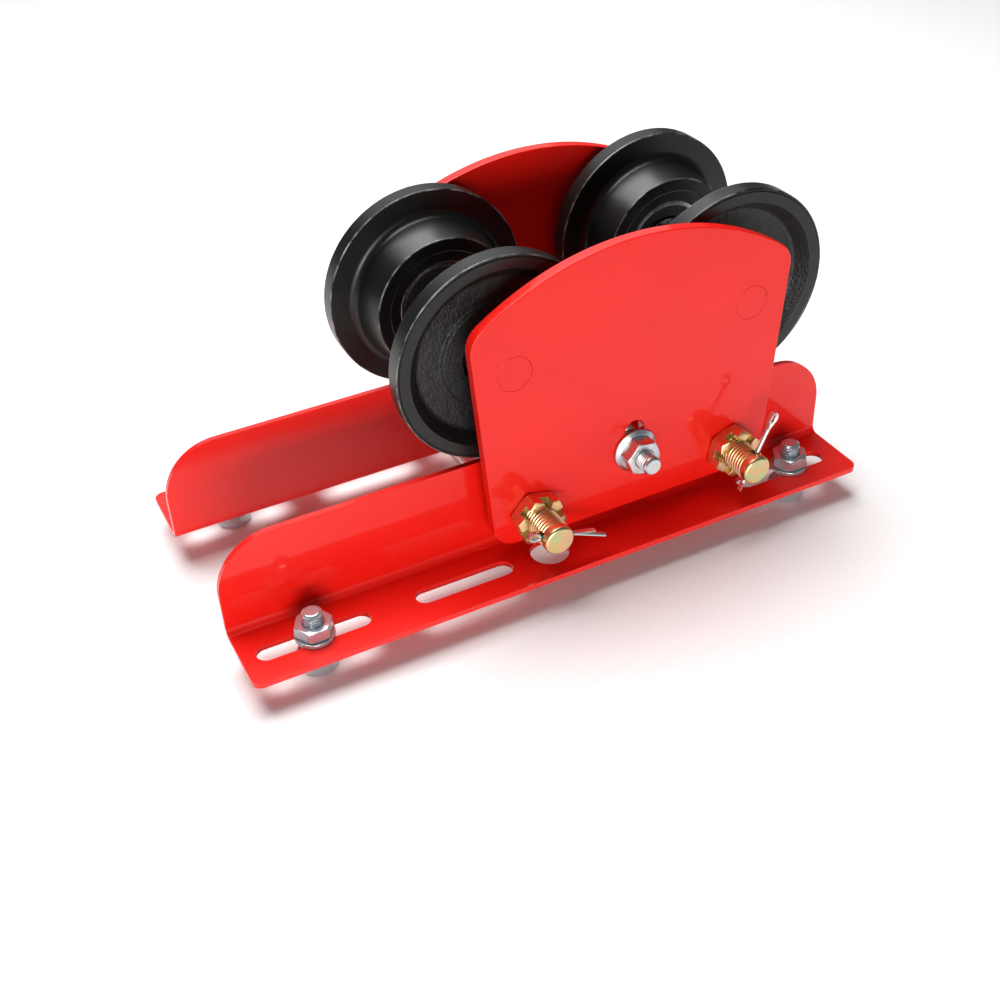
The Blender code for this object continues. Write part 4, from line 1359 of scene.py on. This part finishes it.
def add_camera():
    """A camera in front, above and to the left, looking down with a small roll."""
    yaw, pitch, roll = (math.radians(angle) for angle in CAMERA_ANGLES)
    forward = Vector((math.sin(-yaw) * math.cos(pitch), math.cos(yaw) * math.cos(pitch),
                      math.sin(pitch)))
    right = Vector((math.cos(yaw), math.sin(yaw), 0))
    up = right.cross(forward)
    rolled_right = math.cos(roll) * right + math.sin(roll) * up
    rolled_up = math.cos(roll) * up - math.sin(roll) * right
    turn = Matrix((rolled_right, rolled_up, -forward)).transposed().to_4x4()
    lens = bpy.data.cameras.new("product_camera")
    lens.lens = CAMERA_LENS
    lens.clip_start = 0.01
    camera = bpy.data.objects.new("product_camera", lens)
    camera.matrix_world = Matrix.Translation(CAMERA_PLACE) @ turn
    bpy.context.scene.collection.objects.link(camera)
    bpy.context.scene.camera = camera


class TROLLEY_OT_stage(bpy.types.Operator):
    """Builds the floor, the soft lights, the room light and the camera"""

    bl_idname = "trolley.stage"
    bl_label = "Stage"

    def execute(self, context):
        settings = context.scene.trolley_stage
        shape = bmesh.new()
        bmesh.ops.create_grid(shape, x_segments=1, y_segments=1, size=settings.floor_size / 2)
        shape.transform(Matrix.Translation((0, 0, -FLOOR_DROP)))
        floor = loose_object("studio_floor", shape)
        floor.data.materials.append(finish("paper"))
        middle = (CAD_BOX[0] + CAD_BOX[1]) / 2
        powers = (settings.front_power, settings.top_power, settings.back_power)
        for (name, (size, place)), power in zip(LIGHTS.items(), powers):
            add_light(name, size, power, place, middle)
        world = bpy.data.worlds.new("studio")
        world.use_nodes = True
        sky = world.node_tree.nodes["Background"]
        sky.inputs["Color"].default_value = (1, 1, 1, 1)
        sky.inputs["Strength"].default_value = settings.room_light
        context.scene.world = world
        context.scene.view_settings.view_transform = "Standard"
        add_camera()
        return {"FINISHED"}


# ---------------------------------------------------------------- add-on
GROUPS = {
    "trolley_finish": TrolleyFinishSettings,
    "trolley_plates": TrolleyPlateSettings,
    "trolley_brackets": TrolleyBracketSettings,
    "trolley_wheels": TrolleyWheelSettings,
    "trolley_bolts": TrolleyBoltSettings,
    "trolley_stage": TrolleyStageSettings,
}
OPERATORS = (
    TROLLEY_OT_plates, TROLLEY_OT_brackets, TROLLEY_OT_wheels, TROLLEY_OT_bearings,
    TROLLEY_OT_studs, TROLLEY_OT_circlips, TROLLEY_OT_load_bolts, TROLLEY_OT_castle_nuts,
    TROLLEY_OT_cotter_pins, TROLLEY_OT_spacers, TROLLEY_OT_centre_bolt,
    TROLLEY_OT_hoist_bolts, TROLLEY_OT_stage,
)


class TROLLEY_PT_pieces(bpy.types.Panel):
    """Lists the trolley's settings and the buttons that build its pieces"""

    bl_idname = "TROLLEY_PT_pieces"
    bl_label = "Beam Trolley"
    bl_space_type = "VIEW_3D"
    bl_region_type = "UI"
    bl_category = "Trolley"

    def draw(self, context):
        for name, group in GROUPS.items():
            box = self.layout.box()
            for key in group.__annotations__:
                box.prop(getattr(context.scene, name), key)
        for operator in OPERATORS:
            self.layout.operator(operator.bl_idname)


def register():
    for group in GROUPS.values():
        bpy.utils.register_class(group)
    for name, group in GROUPS.items():
        setattr(bpy.types.Scene, name, PointerProperty(type=group))
    for operator in OPERATORS:
        bpy.utils.register_class(operator)
    bpy.utils.register_class(TROLLEY_PT_pieces)


def unregister():
    bpy.utils.unregister_class(TROLLEY_PT_pieces)
    for operator in reversed(OPERATORS):
        bpy.utils.unregister_class(operator)
    for name in GROUPS:
        delattr(bpy.types.Scene, name)
    for group in reversed(GROUPS.values()):
        bpy.utils.unregister_class(group)


def main():
    register()
    for build in (
        bpy.ops.trolley.plates, bpy.ops.trolley.brackets, bpy.ops.trolley.wheels,
        bpy.ops.trolley.bearings, bpy.ops.trolley.studs, bpy.ops.trolley.circlips,
        bpy.ops.trolley.load_bolts, bpy.ops.trolley.castle_nuts, bpy.ops.trolley.cotter_pins,
        bpy.ops.trolley.spacers, bpy.ops.trolley.centre_bolt, bpy.ops.trolley.hoist_bolts,
        bpy.ops.trolley.stage,
    ):
        build()


if __name__ == "__main__":
    main()
